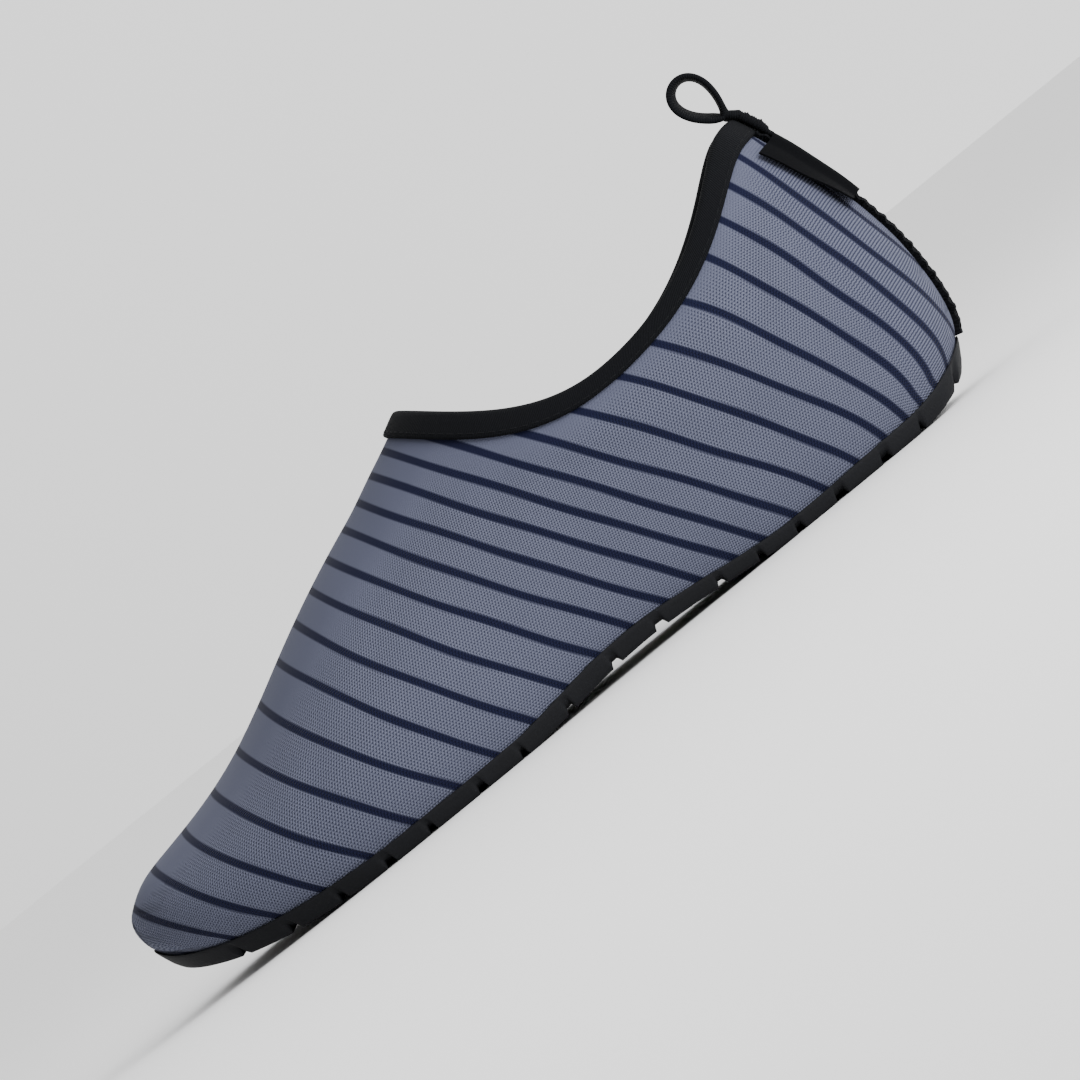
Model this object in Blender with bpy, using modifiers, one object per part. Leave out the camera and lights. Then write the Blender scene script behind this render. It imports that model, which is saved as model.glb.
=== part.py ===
"""Slip-on water shoe for the left foot, as an assembly of the pieces that a maker puts together.

The row frame is in metres: +Z up, the toe towards -X, the outer (little toe) side towards -Y.
The origin is on the floor, under the middle of the heel's flat spot.
Inside the script a length along the shoe runs from the heel's rearmost point towards the toe.
"""

import bisect
import math

import bpy
import numpy as np
from mathutils import Vector

# Upper, outer face of the fabric. The ankle narrows between two shares of the heel's height and
# ends between two shares of the length, and near the heel's back it starts from nothing.
LENGTH = 0.2608
BALL_WIDTH = 0.0900
INSTEP_RISE = 0.0795
HEEL_HEIGHT = 0.0893
COLLAR_DIP = 0.0255
COLLAR_FRONT = 0.1268
HEEL_TUCK = 0.0085
HEEL_LEAN = 0.0145
TOE_TUCK = 0.0042
SIDE_TUCK = 0.0027
ANKLE_NARROWING = 0.0052
ANKLE_RISE = (0.35, 1.10)
ANKLE_REACH = (0.20, 0.45)
ANKLE_END = 0.25
SECTION_POWER = 2.15
FABRIC = 0.0018

# Sole
TOE_SPRING = 0.0120
ARCH_RISE = 0.0035
HEEL_ROLL = 0.0052
SOLE_FLOOR = 0.0030
SOLE_SIDE = 0.0050
SOLE_LIP = 0.0010
SOLE_DRAFT = 0.0006
GROOVE_WIDTH = 0.0026
GROOVE_DEPTH = 0.0014
NOTCH_DEPTH = 0.0022
GROOVE_SLOPE = 0.0004
INSOLE = 0.0030

# Tapes and label
BINDING = 0.0011
BINDING_GAP = 0.0005
BINDING_LEG = 0.0060
BINDING_INNER_LEG = 0.0055
TAPE_WIDTH = 0.0080
HEEL_TAPE = 0.0014
HEEL_TAPE_CLEAR = 0.0012
LOOP_TAPE = 0.0021
LOOP_HEIGHT = 0.0142
LOOP_WIDTH = 0.0105
LOOP_LEAN = math.radians(21)
LOOP_TAIL = 0.0040
LOOP_NECK = 0.12
LOOP_POINTEDNESS = 0.85
LOOP_FULLNESS = 1.12
LABEL = 0.0008
LABEL_HEIGHT = 0.0240
LABEL_FLAP = 0.0135
LABEL_ROOT = 0.0034
LABEL_LIFT = 0.0010

# Clearance between neighbouring pieces
GAP = 0.0003

# Where the origin lies, along the shoe
HEEL_REST = 0.0430

# Mesh fineness
STATIONS = 32
RISES = 16
RISE_CROWDING = 1.3
RIDGE_POINTS = 160
NOSE_POINTS = 40
TAPE_ROWS = 16
TAIL_ROWS = 8
LOOP_POINTS = 24

# The plan outline at the widest level. Half width is fullness times half the ball width times
# the sine of the station's angle, and centre is a share of the ball width towards the inner side.
# ridge is how far the top line lies inwards of that centre, as a share of the ball width.
OUTLINE = [
    # station, fullness, centre, ridge
    (0.00, 1.25, 0.000, 0.000),
    (0.03, 1.20, 0.000, 0.000),
    (0.07, 1.10, 0.000, 0.000),
    (0.12, 0.99, 0.000, 0.000),
    (0.18, 0.90, -0.002, 0.002),
    (0.26, 0.81, -0.009, 0.008),
    (0.36, 0.745, -0.024, 0.024),
    (0.45, 0.745, -0.036, 0.044),
    (0.54, 0.825, -0.040, 0.060),
    (0.62, 0.945, -0.033, 0.068),
    (0.70, 1.080, -0.013, 0.066),
    (0.76, 1.170, 0.004, 0.060),
    (0.82, 1.250, 0.024, 0.050),
    (0.88, 1.330, 0.044, 0.036),
    (0.93, 1.400, 0.060, 0.022),
    (0.97, 1.450, 0.072, 0.009),
    (1.00, 1.480, 0.079, 0.000),
]

# The top line above the feather line, as a share of the instep's rise. Behind the collar it is
# the shin, which only shapes the sections. belly is the widest level, as a share of the same.
TOP_LINE = [
    # station, rise, belly
    (0.00, 2.15, 0.190),
    (0.15, 1.98, 0.182),
    (0.25, 1.72, 0.170),
    (0.33, 1.45, 0.160),
    (0.40, 1.21, 0.150),
    (0.486, 1.000, 0.142),
    (0.530, 0.946, 0.138),
    (0.586, 0.879, 0.134),
    (0.654, 0.787, 0.130),
    (0.726, 0.672, 0.124),
    (0.809, 0.528, 0.116),
    (0.899, 0.396, 0.104),
    (0.944, 0.324, 0.096),
    (0.965, 0.276, 0.090),
    (0.985, 0.201, 0.082),
    (1.00, 0.073, 0.073),
]

# The collar edge in side view, below a straight line from its back to its front.
COLLAR_LINE = [
    # share of the way to the front, share of the dip
    (0.00, 0.000),
    (0.05, 0.040),
    (0.10, 0.170),
    (0.17, 0.400),
    (0.28, 0.700),
    (0.41, 0.915),
    (0.55, 1.000),
    (0.65, 0.975),
    (0.74, 0.860),
    (0.84, 0.610),
    (0.92, 0.325),
    (1.00, 0.000),
]

# The back of the heel: how far it lies before the rearmost point.
HEEL_CURVE = [
    # share of the way up to the collar, share of the tuck, share of the lean
    (0.00, 1.00, 0.00),
    (0.04, 0.61, 0.00),
    (0.10, 0.27, 0.00),
    (0.17, 0.10, 0.00),
    (0.25, 0.02, 0.00),
    (0.33, 0.00, 0.00),
    (0.40, 0.00, 0.015),
    (0.50, 0.00, 0.090),
    (0.60, 0.00, 0.205),
    (0.70, 0.00, 0.350),
    (0.80, 0.00, 0.530),
    (0.90, 0.00, 0.750),
    (1.00, 0.00, 1.000),
]

# The underside of the sole above the floor. It is flat where all three are nought.
BOTTOM_LINE = [
    # station, share of the heel's roll, of the arch, of the toe spring
    (0.000, 1.90, 0.00, 0.00),
    (0.032, 1.00, 0.00, 0.00),
    (0.045, 0.69, 0.00, 0.00),
    (0.060, 0.42, 0.00, 0.00),
    (0.080, 0.17, 0.00, 0.00),
    (0.100, 0.04, 0.00, 0.00),
    (0.115, 0.00, 0.00, 0.00),
    (0.260, 0.00, 0.00, 0.00),
    (0.320, 0.00, 0.35, 0.00),
    (0.380, 0.00, 0.82, 0.00),
    (0.430, 0.00, 1.00, 0.00),
    (0.480, 0.00, 0.84, 0.00),
    (0.535, 0.00, 0.36, 0.00),
    (0.590, 0.00, 0.00, 0.00),
    (0.745, 0.00, 0.00, 0.00),
    (0.800, 0.00, 0.00, 0.04),
    (0.840, 0.00, 0.00, 0.11),
    (0.880, 0.00, 0.00, 0.23),
    (0.920, 0.00, 0.00, 0.42),
    (0.950, 0.00, 0.00, 0.63),
    (0.970, 0.00, 0.00, 0.81),
    (0.985, 0.00, 0.00, 1.00),
    (1.000, 0.00, 0.00, 1.28),
]

# The height of the sole's side, as a share of its full height.
SOLE_SIDE_LINE = [
    # station, share
    (0.00, 0.98),
    (0.12, 1.00),
    (0.22, 0.84),
    (0.30, 0.80),
    (0.38, 0.88),
    (0.48, 1.04),
    (0.60, 0.98),
    (0.75, 0.96),
    (0.90, 1.04),
    (1.00, 0.92),
]

# Grooves across the sole, which come out at its side as notches.
GROOVES = [
    # station, share of the groove's width
    (0.052, 0.9),
    (0.105, 0.7),
    (0.150, 1.2),
    (0.205, 1.4),
    (0.255, 1.0),
    (0.300, 0.8),
    (0.345, 1.0),
    (0.415, 1.3),
    (0.470, 1.1),
    (0.530, 1.0),
    (0.590, 0.8),
    (0.640, 1.1),
    (0.700, 0.9),
    (0.750, 1.2),
    (0.805, 0.9),
    (0.860, 1.1),
    (0.915, 0.8),
]

# Grooves along the sole, at shares of its half width, with the share that each takes. Their walls
# stand between two shares of that width.
LONG_GROOVES = [(-0.40, 0.055), (0.40, 0.055)]
LONG_GROOVE_WALL = (0.40, 0.62)

# Other columns of the underside: one near either edge, and one off the middle.
SOLE_COLUMNS = [-0.93, 0.12, 0.93]


def smooth(rows, column, angular=False):
    """A natural cubic curve through one column of a table, against its first column.

    An angular curve runs against the station's angle, which rounds off both of its ends."""
    at = np.array([station_angle(row[0]) if angular else row[0] for row in rows])
    value = np.array([row[column] for row in rows])
    step = np.diff(at)
    slope = np.diff(value) / step
    size = len(rows)
    system = np.eye(size)
    right = np.zeros(size)
    for i in range(1, size - 1):
        system[i, i - 1 : i + 2] = step[i - 1], 2 * (step[i - 1] + step[i]), step[i]
        right[i] = 6 * (slope[i] - slope[i - 1])
    bend = np.linalg.solve(system, right).tolist()
    at, value, step = at.tolist(), value.tolist(), step.tolist()

    def curve(share):
        x = station_angle(share) if angular else share
        i = min(max(bisect.bisect_right(at, x) - 1, 0), size - 2)
        near, far, h = x - at[i], at[i + 1] - x, step[i]
        cubic = (bend[i] * far**3 + bend[i + 1] * near**3) / (6 * h)
        start = value[i] / h - bend[i] * h / 6
        end = value[i + 1] / h - bend[i + 1] * h / 6
        return cubic + start * far + end * near

    return curve


def steady(rows, column):
    """A curve through one column of a table that never overshoots, so flat stretches stay flat."""
    at = [row[0] for row in rows]
    value = [row[column] for row in rows]
    slope = [(value[i + 1] - value[i]) / (at[i + 1] - at[i]) for i in range(len(rows) - 1)]
    tangent = [slope[0]]
    for before, after in zip(slope, slope[1:]):
        both = before * after
        tangent.append(2 * both / (before + after) if both > 0 else 0.0)
    tangent.append(slope[-1])

    def curve(share):
        i = min(max(bisect.bisect_right(at, share) - 1, 0), len(at) - 2)
        h = at[i + 1] - at[i]
        t = (share - at[i]) / h
        return (
            value[i] * (1 + 2 * t) * (1 - t) ** 2
            + tangent[i] * h * t * (1 - t) ** 2
            + value[i + 1] * t * t * (3 - 2 * t)
            - tangent[i + 1] * h * t * t * (1 - t)
        )

    return curve


def station_angle(share):
    """The angle of a station: nought at the heel, half a turn at the toe."""
    return math.acos(1 - 2 * min(max(share, 0.0), 1.0))


def between(value, start, end):
    """From nought at start to one at end, level at both."""
    t = min(max((value - start) / (end - start), 0.0), 1.0)
    return t * t * (3 - 2 * t)


def solve(function, low, high):
    """Where a rising function crosses nought, by halving."""
    for _ in range(26):
        middle = (low + high) / 2
        if function(middle) < 0:
            low = middle
        else:
            high = middle
    return (low + high) / 2


fullness = smooth(OUTLINE, 1, angular=True)
centre_share = smooth(OUTLINE, 2)
ridge_share = smooth(OUTLINE, 3)
rise_share = smooth(TOP_LINE, 1, angular=True)
belly_share = smooth(TOP_LINE, 2, angular=True)
dip_share = smooth(COLLAR_LINE, 1)
tuck_share = steady(HEEL_CURVE, 1)
lean_share = smooth(HEEL_CURVE, 2)
roll_share = steady(BOTTOM_LINE, 1)
arch_share = steady(BOTTOM_LINE, 2)
spring_share = steady(BOTTOM_LINE, 3)
side_share = smooth(SOLE_SIDE_LINE, 1)


def bottom(x):
    """Height of the sole's underside above the floor."""
    share = x / LENGTH
    return HEEL_ROLL * roll_share(share) + ARCH_RISE * arch_share(share) + TOE_SPRING * spring_share(share)


def lip_top(x):
    """Height of the top of the sole's side."""
    return bottom(x) + SOLE_SIDE * side_share(x / LENGTH)


def feather(x):
    """Height of the upper's lower edge, just above the floor of the sole's tray."""
    return bottom(x) + SOLE_FLOOR + GAP


def top_line(x):
    return feather(x) + INSTEP_RISE * rise_share(x / LENGTH)


def belly(x):
    """Height at which the section is widest."""
    return feather(x) + INSTEP_RISE * belly_share(x / LENGTH)


HEEL_FEATHER_X = HEEL_TUCK
HEEL_FEATHER_Z = feather(HEEL_FEATHER_X)
TOE_FEATHER_X = LENGTH - TOE_TUCK
TOE_FEATHER_Z = feather(TOE_FEATHER_X)
NOSE_Z = top_line(LENGTH)


def heel_back(z):
    """Where the back of the heel lies at a height."""
    share = (z - HEEL_FEATHER_Z) / (HEEL_HEIGHT - HEEL_FEATHER_Z)
    share = min(max(share, 0.0), 1.0)
    return HEEL_TUCK * tuck_share(share) + HEEL_LEAN * lean_share(share)


def toe_front(z):
    """Where the front of the toe lies at a height, up to its foremost point."""
    left = 1 - min(max((z - TOE_FEATHER_Z) / (NOSE_Z - TOE_FEATHER_Z), 0.0), 1.0)
    return LENGTH - TOE_TUCK * left * left


def even_curve(points):
    """A function from 0 to 1 along a line of points, even in length."""
    points = [Vector(point) for point in points]
    run = [0.0]
    for a, b in zip(points, points[1:]):
        run.append(run[-1] + (b - a).length)

    def curve(share):
        wanted = min(max(share, 0.0), 1.0) * run[-1]
        i = min(max(bisect.bisect_right(run, wanted) - 1, 0), len(run) - 2)
        part = (wanted - run[i]) / (run[i + 1] - run[i])
        return points[i].lerp(points[i + 1], part)

    return curve


def back_ridge_points():
    rise = HEEL_HEIGHT - HEEL_FEATHER_Z
    heights = [HEEL_FEATHER_Z + rise * i / RIDGE_POINTS for i in range(RIDGE_POINTS + 1)]
    return [(heel_back(z), z) for z in heights]


def front_ridge_points():
    """From the toe's feather edge round its foremost point and up the instep to the collar."""
    heights = [TOE_FEATHER_Z + (NOSE_Z - TOE_FEATHER_Z) * i / NOSE_POINTS for i in range(NOSE_POINTS)]
    points = [(toe_front(z), z) for z in heights]
    start, end = math.pi, station_angle(COLLAR_FRONT / LENGTH)
    for i in range(RIDGE_POINTS + 1):
        angle = start + (end - start) * i / RIDGE_POINTS
        x = LENGTH * (1 - math.cos(angle)) / 2
        points.append((x, top_line(x)))
    return points


back_ridge = even_curve(back_ridge_points())
front_ridge = even_curve(front_ridge_points())


def feather_rise(share):
    """The feather line's height over the straight line between its ends."""
    x = HEEL_FEATHER_X + (TOE_FEATHER_X - HEEL_FEATHER_X) * share
    return feather(x) - HEEL_FEATHER_Z * (1 - share) - TOE_FEATHER_Z * share


def side_view(share, up):
    """A point of the side view, between heel and toe (share) and feather edge and collar (up)."""
    x, z = back_ridge(up).lerp(front_ridge(up), share)
    return x, z + feather_rise(share) * (1 - up) - COLLAR_DIP * dip_share(share) * up


def half_width(x, z, up):
    """Half the width of the upper where the side view has this point, on the ring this far up."""
    back, front = back_ridge(up)[0], toe_front(front_ridge(up)[1])
    share = min(max((x - back) / (front - back), 0.0), 1.0)
    wide = BALL_WIDTH / 2 * fullness(share) * 2 * math.sqrt(share * (1 - share))
    level, top = belly(x), max(top_line(x), belly(x) + 1e-6)
    if z < level:
        low = 1 - max(z - feather(x), 0.0) / max(level - feather(x), 1e-6)
        return wide * (1 - 2 * SIDE_TUCK / BALL_WIDTH * low * low)
    high = min((z - level) / (top - level), 1.0)
    arch = (1 - high**SECTION_POWER) ** 0.5
    ankle = between(z / HEEL_HEIGHT, *ANKLE_RISE) * (1 - between(x / LENGTH, *ANKLE_REACH))
    return max(wide * arch - ANKLE_NARROWING * ankle * min(wide / (ANKLE_END * BALL_WIDTH), 1.0), 0.0)


def middle_line(x, z):
    """Where the section's middle lies across the shoe: it moves inwards towards the top line."""
    share = x / LENGTH
    level, top = belly(x), max(top_line(x), belly(x) + 1e-6)
    high = min(max((z - level) / (top - level), 0.0), 1.0)
    return BALL_WIDTH * (centre_share(share) + ridge_share(share) * high * high)


def upper_point(angle, up):
    """A point of the fabric's outer face. The angle runs round the shoe, from the heel along the
    outer side to the toe at half a turn and back along the inner side."""
    turn = angle % (2 * math.pi)
    outer_side = turn <= math.pi
    share = (1 - math.cos(turn)) / 2
    x, z = side_view(share, up)
    wide = 0.0 if abs(math.sin(turn)) < 1e-9 else half_width(x, z, up)
    y = middle_line(x, z) + (-wide if outer_side else wide)
    return Vector((HEEL_REST - x, y, z))


def rise(k):
    """How far up the fabric a ring of its mesh lies: the rings crowd towards the sole."""
    return (k / RISES) ** RISE_CROWDING


def upper_normal(angle, up):
    """The direction out of the fabric's outer face."""
    low, high = max(up - rise(1), 0.0), min(up + rise(1), 1.0)
    turn = math.pi / STATIONS
    along = upper_point(angle + turn, up) - upper_point(angle - turn, up)
    rising = upper_point(angle, high) - upper_point(angle, low)
    return rising.cross(along).normalized()


def plan_normal(angle, up=0.0):
    normal = upper_normal(angle, up)
    return Vector((normal.x, normal.y, 0.0)).normalized()


def shoe_x(point):
    return HEEL_REST - point.x


def up_at_height(angle, above_bottom, inside=0.0):
    """How far up the fabric a height above the sole's underside lies, on a face this far inside."""

    def over(up):
        point = upper_point(angle, up) - upper_normal(angle, up) * inside
        return point.z - bottom(shoe_x(point)) - above_bottom

    return 0.0 if over(0.0) > 0 else solve(over, 0.0, 0.5)


def lip_up(angle):
    """How far up the fabric the top of the sole's side lies."""
    x = shoe_x(upper_point(angle, 0.0))
    return up_at_height(angle, lip_top(x) - bottom(x))


def beside_fabric(angle, up, out, height):
    """A point level with a place on the fabric but this far outside it, at height(x) above the floor."""
    point = upper_point(angle, up) + plan_normal(angle, up) * out
    point.z = height(shoe_x(point))
    return point


def up_below_collar(angle, distance):
    """How far up the fabric a point this far below the collar edge lies."""
    edge = upper_point(angle, 1.0)
    return solve(lambda up: distance - (upper_point(angle, up) - edge).length, 0.5, 1.0)


def new_collection(name):
    collection = bpy.data.collections.new(name)
    bpy.context.scene.collection.children.link(collection)
    return collection


def new_material(name, colour, roughness):
    material = bpy.data.materials.new(name)
    material.use_nodes = True
    shader = material.node_tree.nodes["Principled BSDF"]
    shader.inputs["Base Color"].default_value = (*colour, 1.0)
    shader.inputs["Roughness"].default_value = roughness
    shader.inputs["Metallic"].default_value = 0.0
    return material


def new_object(name, points, faces, material, collection):
    mesh = bpy.data.meshes.new(name)
    mesh.from_pydata([tuple(p) for p in points], [], faces)
    mesh.validate()
    mesh.materials.append(material)
    mesh.shade_smooth()
    mesh.set_sharp_from_angle(angle=math.radians(40))
    made = bpy.data.objects.new(name, mesh)
    collection.objects.link(made)
    return made


def ring_faces(count, first, second):
    """Quads between two closed rings of points, given where each starts."""
    return [
        (first + i, second + i, second + (i + 1) % count, first + (i + 1) % count) for i in range(count)
    ]


def slab(name, angles, rings, columns, lift, material, collection):
    """A closed plate. rings go from its underside's edge up and in to its top face's edge. Both
    faces are filled by rows from the outer to the inner side: the underside has a point at each
    column, and the top one in the middle. lift(point, angle, column, underside) gives a point's
    height."""
    half = len(angles)
    count = 2 * (half - 1)
    points, faces = [], []
    for ring in rings:
        points += [ring(angle) for angle in angles]
        points += [ring(2 * math.pi - angle) for angle in reversed(angles[1:-1])]
    for k in range(len(rings) - 1):
        faces += ring_faces(count, k * count, (k + 1) * count)

    def fill(start, underside):
        filled = columns if underside else [0.0]
        rows = []
        for i in range(1, half - 1):
            outer, inner = start + i, start + count - i
            row = [outer]
            for column in filled:
                part = (column + 1) / 2
                point = points[outer].lerp(points[inner], part)
                point.z = lift(point, angles[i], column, underside)
                row.append(len(points))
                points.append(point)
            rows.append(row + [inner])
        heel, toe = start, start + half - 1
        made = []
        for a, b in zip(rows, rows[1:]):
            made += [(a[j], a[j + 1], b[j + 1], b[j]) for j in range(len(a) - 1)]
        made += [(heel, rows[0][j + 1], rows[0][j]) for j in range(len(filled) + 1)]
        made += [(toe, rows[-1][j], rows[-1][j + 1]) for j in range(len(filled) + 1)]
        return [tuple(reversed(face)) for face in made] if underside else made

    faces += fill(0, True)
    faces += fill((len(rings) - 1) * count, False)
    return new_object(name, points, faces, material, collection)


def strip(name, grid, lower, upper, material, collection):
    """A closed band on the fabric. grid holds rows of (angle, up), and lower and upper give how far
    each of its two faces stands off the fabric, from a place's row and column shares."""
    rows, columns = len(grid), len(grid[0])
    points = []
    for offset in (lower, upper):
        for i, row in enumerate(grid):
            for j, (angle, up) in enumerate(row):
                off = offset(i / (rows - 1), j / (columns - 1))
                points.append(upper_point(angle, up) + upper_normal(angle, up) * off)
    top = rows * columns
    faces = []
    for i in range(rows - 1):
        for j in range(columns - 1):
            a = i * columns + j
            quad = (a, a + 1, a + columns + 1, a + columns)
            faces.append(tuple(reversed(quad)))
            faces.append(tuple(k + top for k in quad))
    rim = [j for j in range(columns)]
    rim += [i * columns + columns - 1 for i in range(1, rows)]
    rim += [(rows - 1) * columns + j for j in range(columns - 2, -1, -1)]
    rim += [i * columns for i in range(rows - 2, 0, -1)]
    for a, b in zip(rim, rim[1:] + rim[:1]):
        faces.append((a, b, b + top, a + top))
    return new_object(name, points, faces, material, collection)


def make_upper(material, collection):
    """One sock of stretch knit, open at the collar and underneath."""
    angles = [math.pi * i / STATIONS for i in range(2 * STATIONS)]
    count = len(angles)
    points, faces = [], []
    for k in range(RISES + 1):
        points += [upper_point(angle, rise(k)) for angle in angles]
    for k in range(RISES):
        faces += ring_faces(count, k * count, (k + 1) * count)
    upper = new_object("upper", points, faces, material, collection)
    wall = upper.modifiers.new("wall", "SOLIDIFY")
    wall.thickness = FABRIC
    wall.offset = -1.0
    wall.use_even_offset = True
    return upper


def sole_angles():
    """Stations along the sole: even ones, and the edges of each groove."""
    span = TOE_FEATHER_X - HEEL_FEATHER_X
    edges = []
    for station, width in GROOVES:
        for side in (-1, 1):
            wide = GROOVE_WIDTH * width / 2
            for off in (wide, wide - GROOVE_SLOPE):
                edges.append((station * LENGTH + side * off - HEEL_FEATHER_X) / span)
    cuts = sorted(station_angle(share) for share in edges)
    even = [math.pi * i / STATIONS for i in range(STATIONS + 1)]
    clear = 0.35 * math.pi / STATIONS
    kept = [a for a in even if a in (even[0], even[-1]) or min(abs(a - c) for c in cuts) > clear]
    return sorted(cuts + kept)


def across_groove(x):
    """How deep a place lies in a groove across the sole, from nought to one."""
    deep = 0.0
    for station, width in GROOVES:
        inside = GROOVE_WIDTH * width / 2 - abs(x - station * LENGTH)
        deep = max(deep, min(max(inside / GROOVE_SLOPE, 0.0), 1.0))
    return deep


def along_groove(column):
    """Whether a column lies in a groove along the sole."""
    return any(abs(column - middle) < wide / 2 for middle, wide in LONG_GROOVES)


def make_outsole(material, collection):
    """A rubber tray: its lip holds the fabric's lower edge, and grooves part its underside into lugs."""
    outer = GAP + SOLE_LIP

    def station_x(angle):
        return HEEL_FEATHER_X + (TOE_FEATHER_X - HEEL_FEATHER_X) * (1 - math.cos(angle)) / 2

    def lower_edge(angle):
        notch = NOTCH_DEPTH * across_groove(station_x(angle))
        return beside_fabric(angle, 0.0, outer - SOLE_DRAFT, lambda x: bottom(x) + notch)

    def lip_outside(angle):
        return beside_fabric(angle, lip_up(angle), outer, lip_top)

    def lip_inside(angle):
        return beside_fabric(angle, lip_up(angle), GAP, lip_top)

    def lip_foot(angle):
        up = lip_up(angle) / 2
        point = upper_point(angle, up)
        return point + plan_normal(angle, up) * GAP

    def tray_edge(angle):
        return beside_fabric(angle, 0.0, GAP, lambda x: bottom(x) + SOLE_FLOOR)

    def lift(point, angle, column, underside):
        level = bottom(shoe_x(point))
        if not underside:
            return level + SOLE_FLOOR
        deep = max(across_groove(station_x(angle)), 1.0 if along_groove(column) else 0.0)
        return level + GROOVE_DEPTH * deep

    columns = list(SOLE_COLUMNS)
    for middle, wide in LONG_GROOVES:
        for share in LONG_GROOVE_WALL:
            columns += [middle - share * wide, middle + share * wide]
    rings = [lower_edge, lip_outside, lip_inside, lip_foot, tray_edge]
    return slab("outsole", sole_angles(), rings, sorted(columns), lift, material, collection)


def make_insole(material, collection):
    """A foam sheet on the tray's floor, inside the fabric's lower edge."""
    inside = FABRIC + GAP
    low, high = SOLE_FLOOR + GAP, SOLE_FLOOR + GAP + INSOLE

    def fitted(angle, up, height):
        point = upper_point(angle, up) - upper_normal(angle, up) * inside
        point.z = bottom(shoe_x(point)) + height
        return point

    def lower_edge(angle):
        return fitted(angle, 0.0, low)

    def wall_foot(angle):
        point = fitted(angle, 0.0, low)
        point.z = upper_point(angle, 0.0).z - upper_normal(angle, 0.0).z * FABRIC
        return point

    def upper_edge(angle):
        return fitted(angle, up_at_height(angle, high, inside), high)

    def lift(point, angle, column, underside):
        return bottom(shoe_x(point)) + (low if underside else high)

    angles = [math.pi * i / STATIONS for i in range(STATIONS + 1)]
    rings = [lower_edge, wall_foot, upper_edge]
    return slab("insole", angles, rings, [0.0], lift, material, collection)


def make_binding(material, collection):
    """A folded tape over the collar edge: an outer leg, a rounded fold and an inner leg."""
    angles = [math.pi * i / STATIONS for i in range(2 * STATIONS)]
    count = len(angles)
    middle = FABRIC / 2
    profile = []
    for stand, turns in ((BINDING_GAP + BINDING, 5), (BINDING_GAP, 3)):
        arc = [math.pi * i / (turns - 1) for i in range(turns)]
        fold = [(math.cos(a) * (middle + stand) - middle, -math.sin(a) * stand) for a in arc]
        legs_out = [(stand, BINDING_LEG), (stand, BINDING_LEG / 2)]
        legs_in = [(-FABRIC - stand, BINDING_INNER_LEG / 2), (-FABRIC - stand, BINDING_INNER_LEG)]
        side = legs_out + fold + legs_in
        profile += side if not profile else list(reversed(side))
    points = []
    for out, below in profile:
        for angle in angles:
            up = up_below_collar(angle, below) if below > 0 else 1.0
            point = upper_point(angle, up) + upper_normal(angle, up) * out
            if below < 0:
                rising = upper_point(angle, 1.0) - upper_point(angle, 0.99)
                point += rising.normalized() * -below
            points.append(point)
    faces = []
    for k in range(len(profile)):
        faces += ring_faces(count, k * count, (k + 1) % len(profile) * count)
    return new_object("collar_binding", points, faces, material, collection)


def heel_grid(z_low, z_high, arc_from, arc_to, rows, columns):
    """Places on the back of the heel, in rows up it and columns round it."""
    low, high = (
        solve(lambda up, z=z: back_ridge(up)[1] - z, 0.0, 1.0) for z in (z_low, z_high)
    )
    grid = []
    for i in range(rows):
        up = low + (high - low) * i / (rows - 1)
        row = []
        for j in range(columns):
            arc = arc_from + (arc_to - arc_from) * j / (columns - 1)
            row.append((angle_at_arc(arc, up), up))
        grid.append(row)
    return grid


def angle_at_arc(arc, up):
    """The angle at which the fabric lies this far round from the heel's back seam."""
    start = upper_point(0.0, up)
    reach = solve(lambda a: (upper_point(a, up) - start).length - abs(arc), 0.0, 1.0)
    return math.copysign(reach, arc)


def binding_bottom():
    """Height at which the binding's outer leg ends at the heel."""
    return back_ridge(up_below_collar(0.0, BINDING_LEG))[1]


def make_heel_tape(material, collection):
    """A tape over the back seam, up to the binding."""
    half = TAPE_WIDTH / 2
    lip = beside_fabric(0.0, lip_up(0.0), GAP + SOLE_LIP, lip_top)
    low, top = lip.z + HEEL_TAPE_CLEAR, binding_bottom() - GAP
    grid = heel_grid(low, top, half, -half, TAPE_ROWS, 5)
    faces = (lambda i, j: GAP), (lambda i, j: GAP + HEEL_TAPE)
    return strip("heel_tape", grid, *faces, material, collection)


def make_heel_label(material, collection):
    """A plain woven label on the tape. Its flap lies round the heel's outer side and lifts a little."""
    top = binding_bottom() - LOOP_TAIL - 2 * GAP
    grid = heel_grid(top - LABEL_HEIGHT, top, LABEL_FLAP, -LABEL_ROOT, 9, 8)

    def under(i, j):
        return HEEL_TAPE + 2 * GAP + LABEL_LIFT * (1 - j) ** 2

    def over(i, j):
        return under(i, j) + LABEL

    return strip("heel_label", grid, under, over, material, collection)


def teardrop(share, height, width):
    """A drop-shaped loop from its point at (0, 0) up and back, as (forward, up)."""
    angle = 2 * math.pi * share
    forward = math.sin(angle) * math.sin(angle / 2) ** LOOP_POINTEDNESS * width / 2
    return forward * LOOP_FULLNESS, (1 - math.cos(angle)) * height / 2


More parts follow.
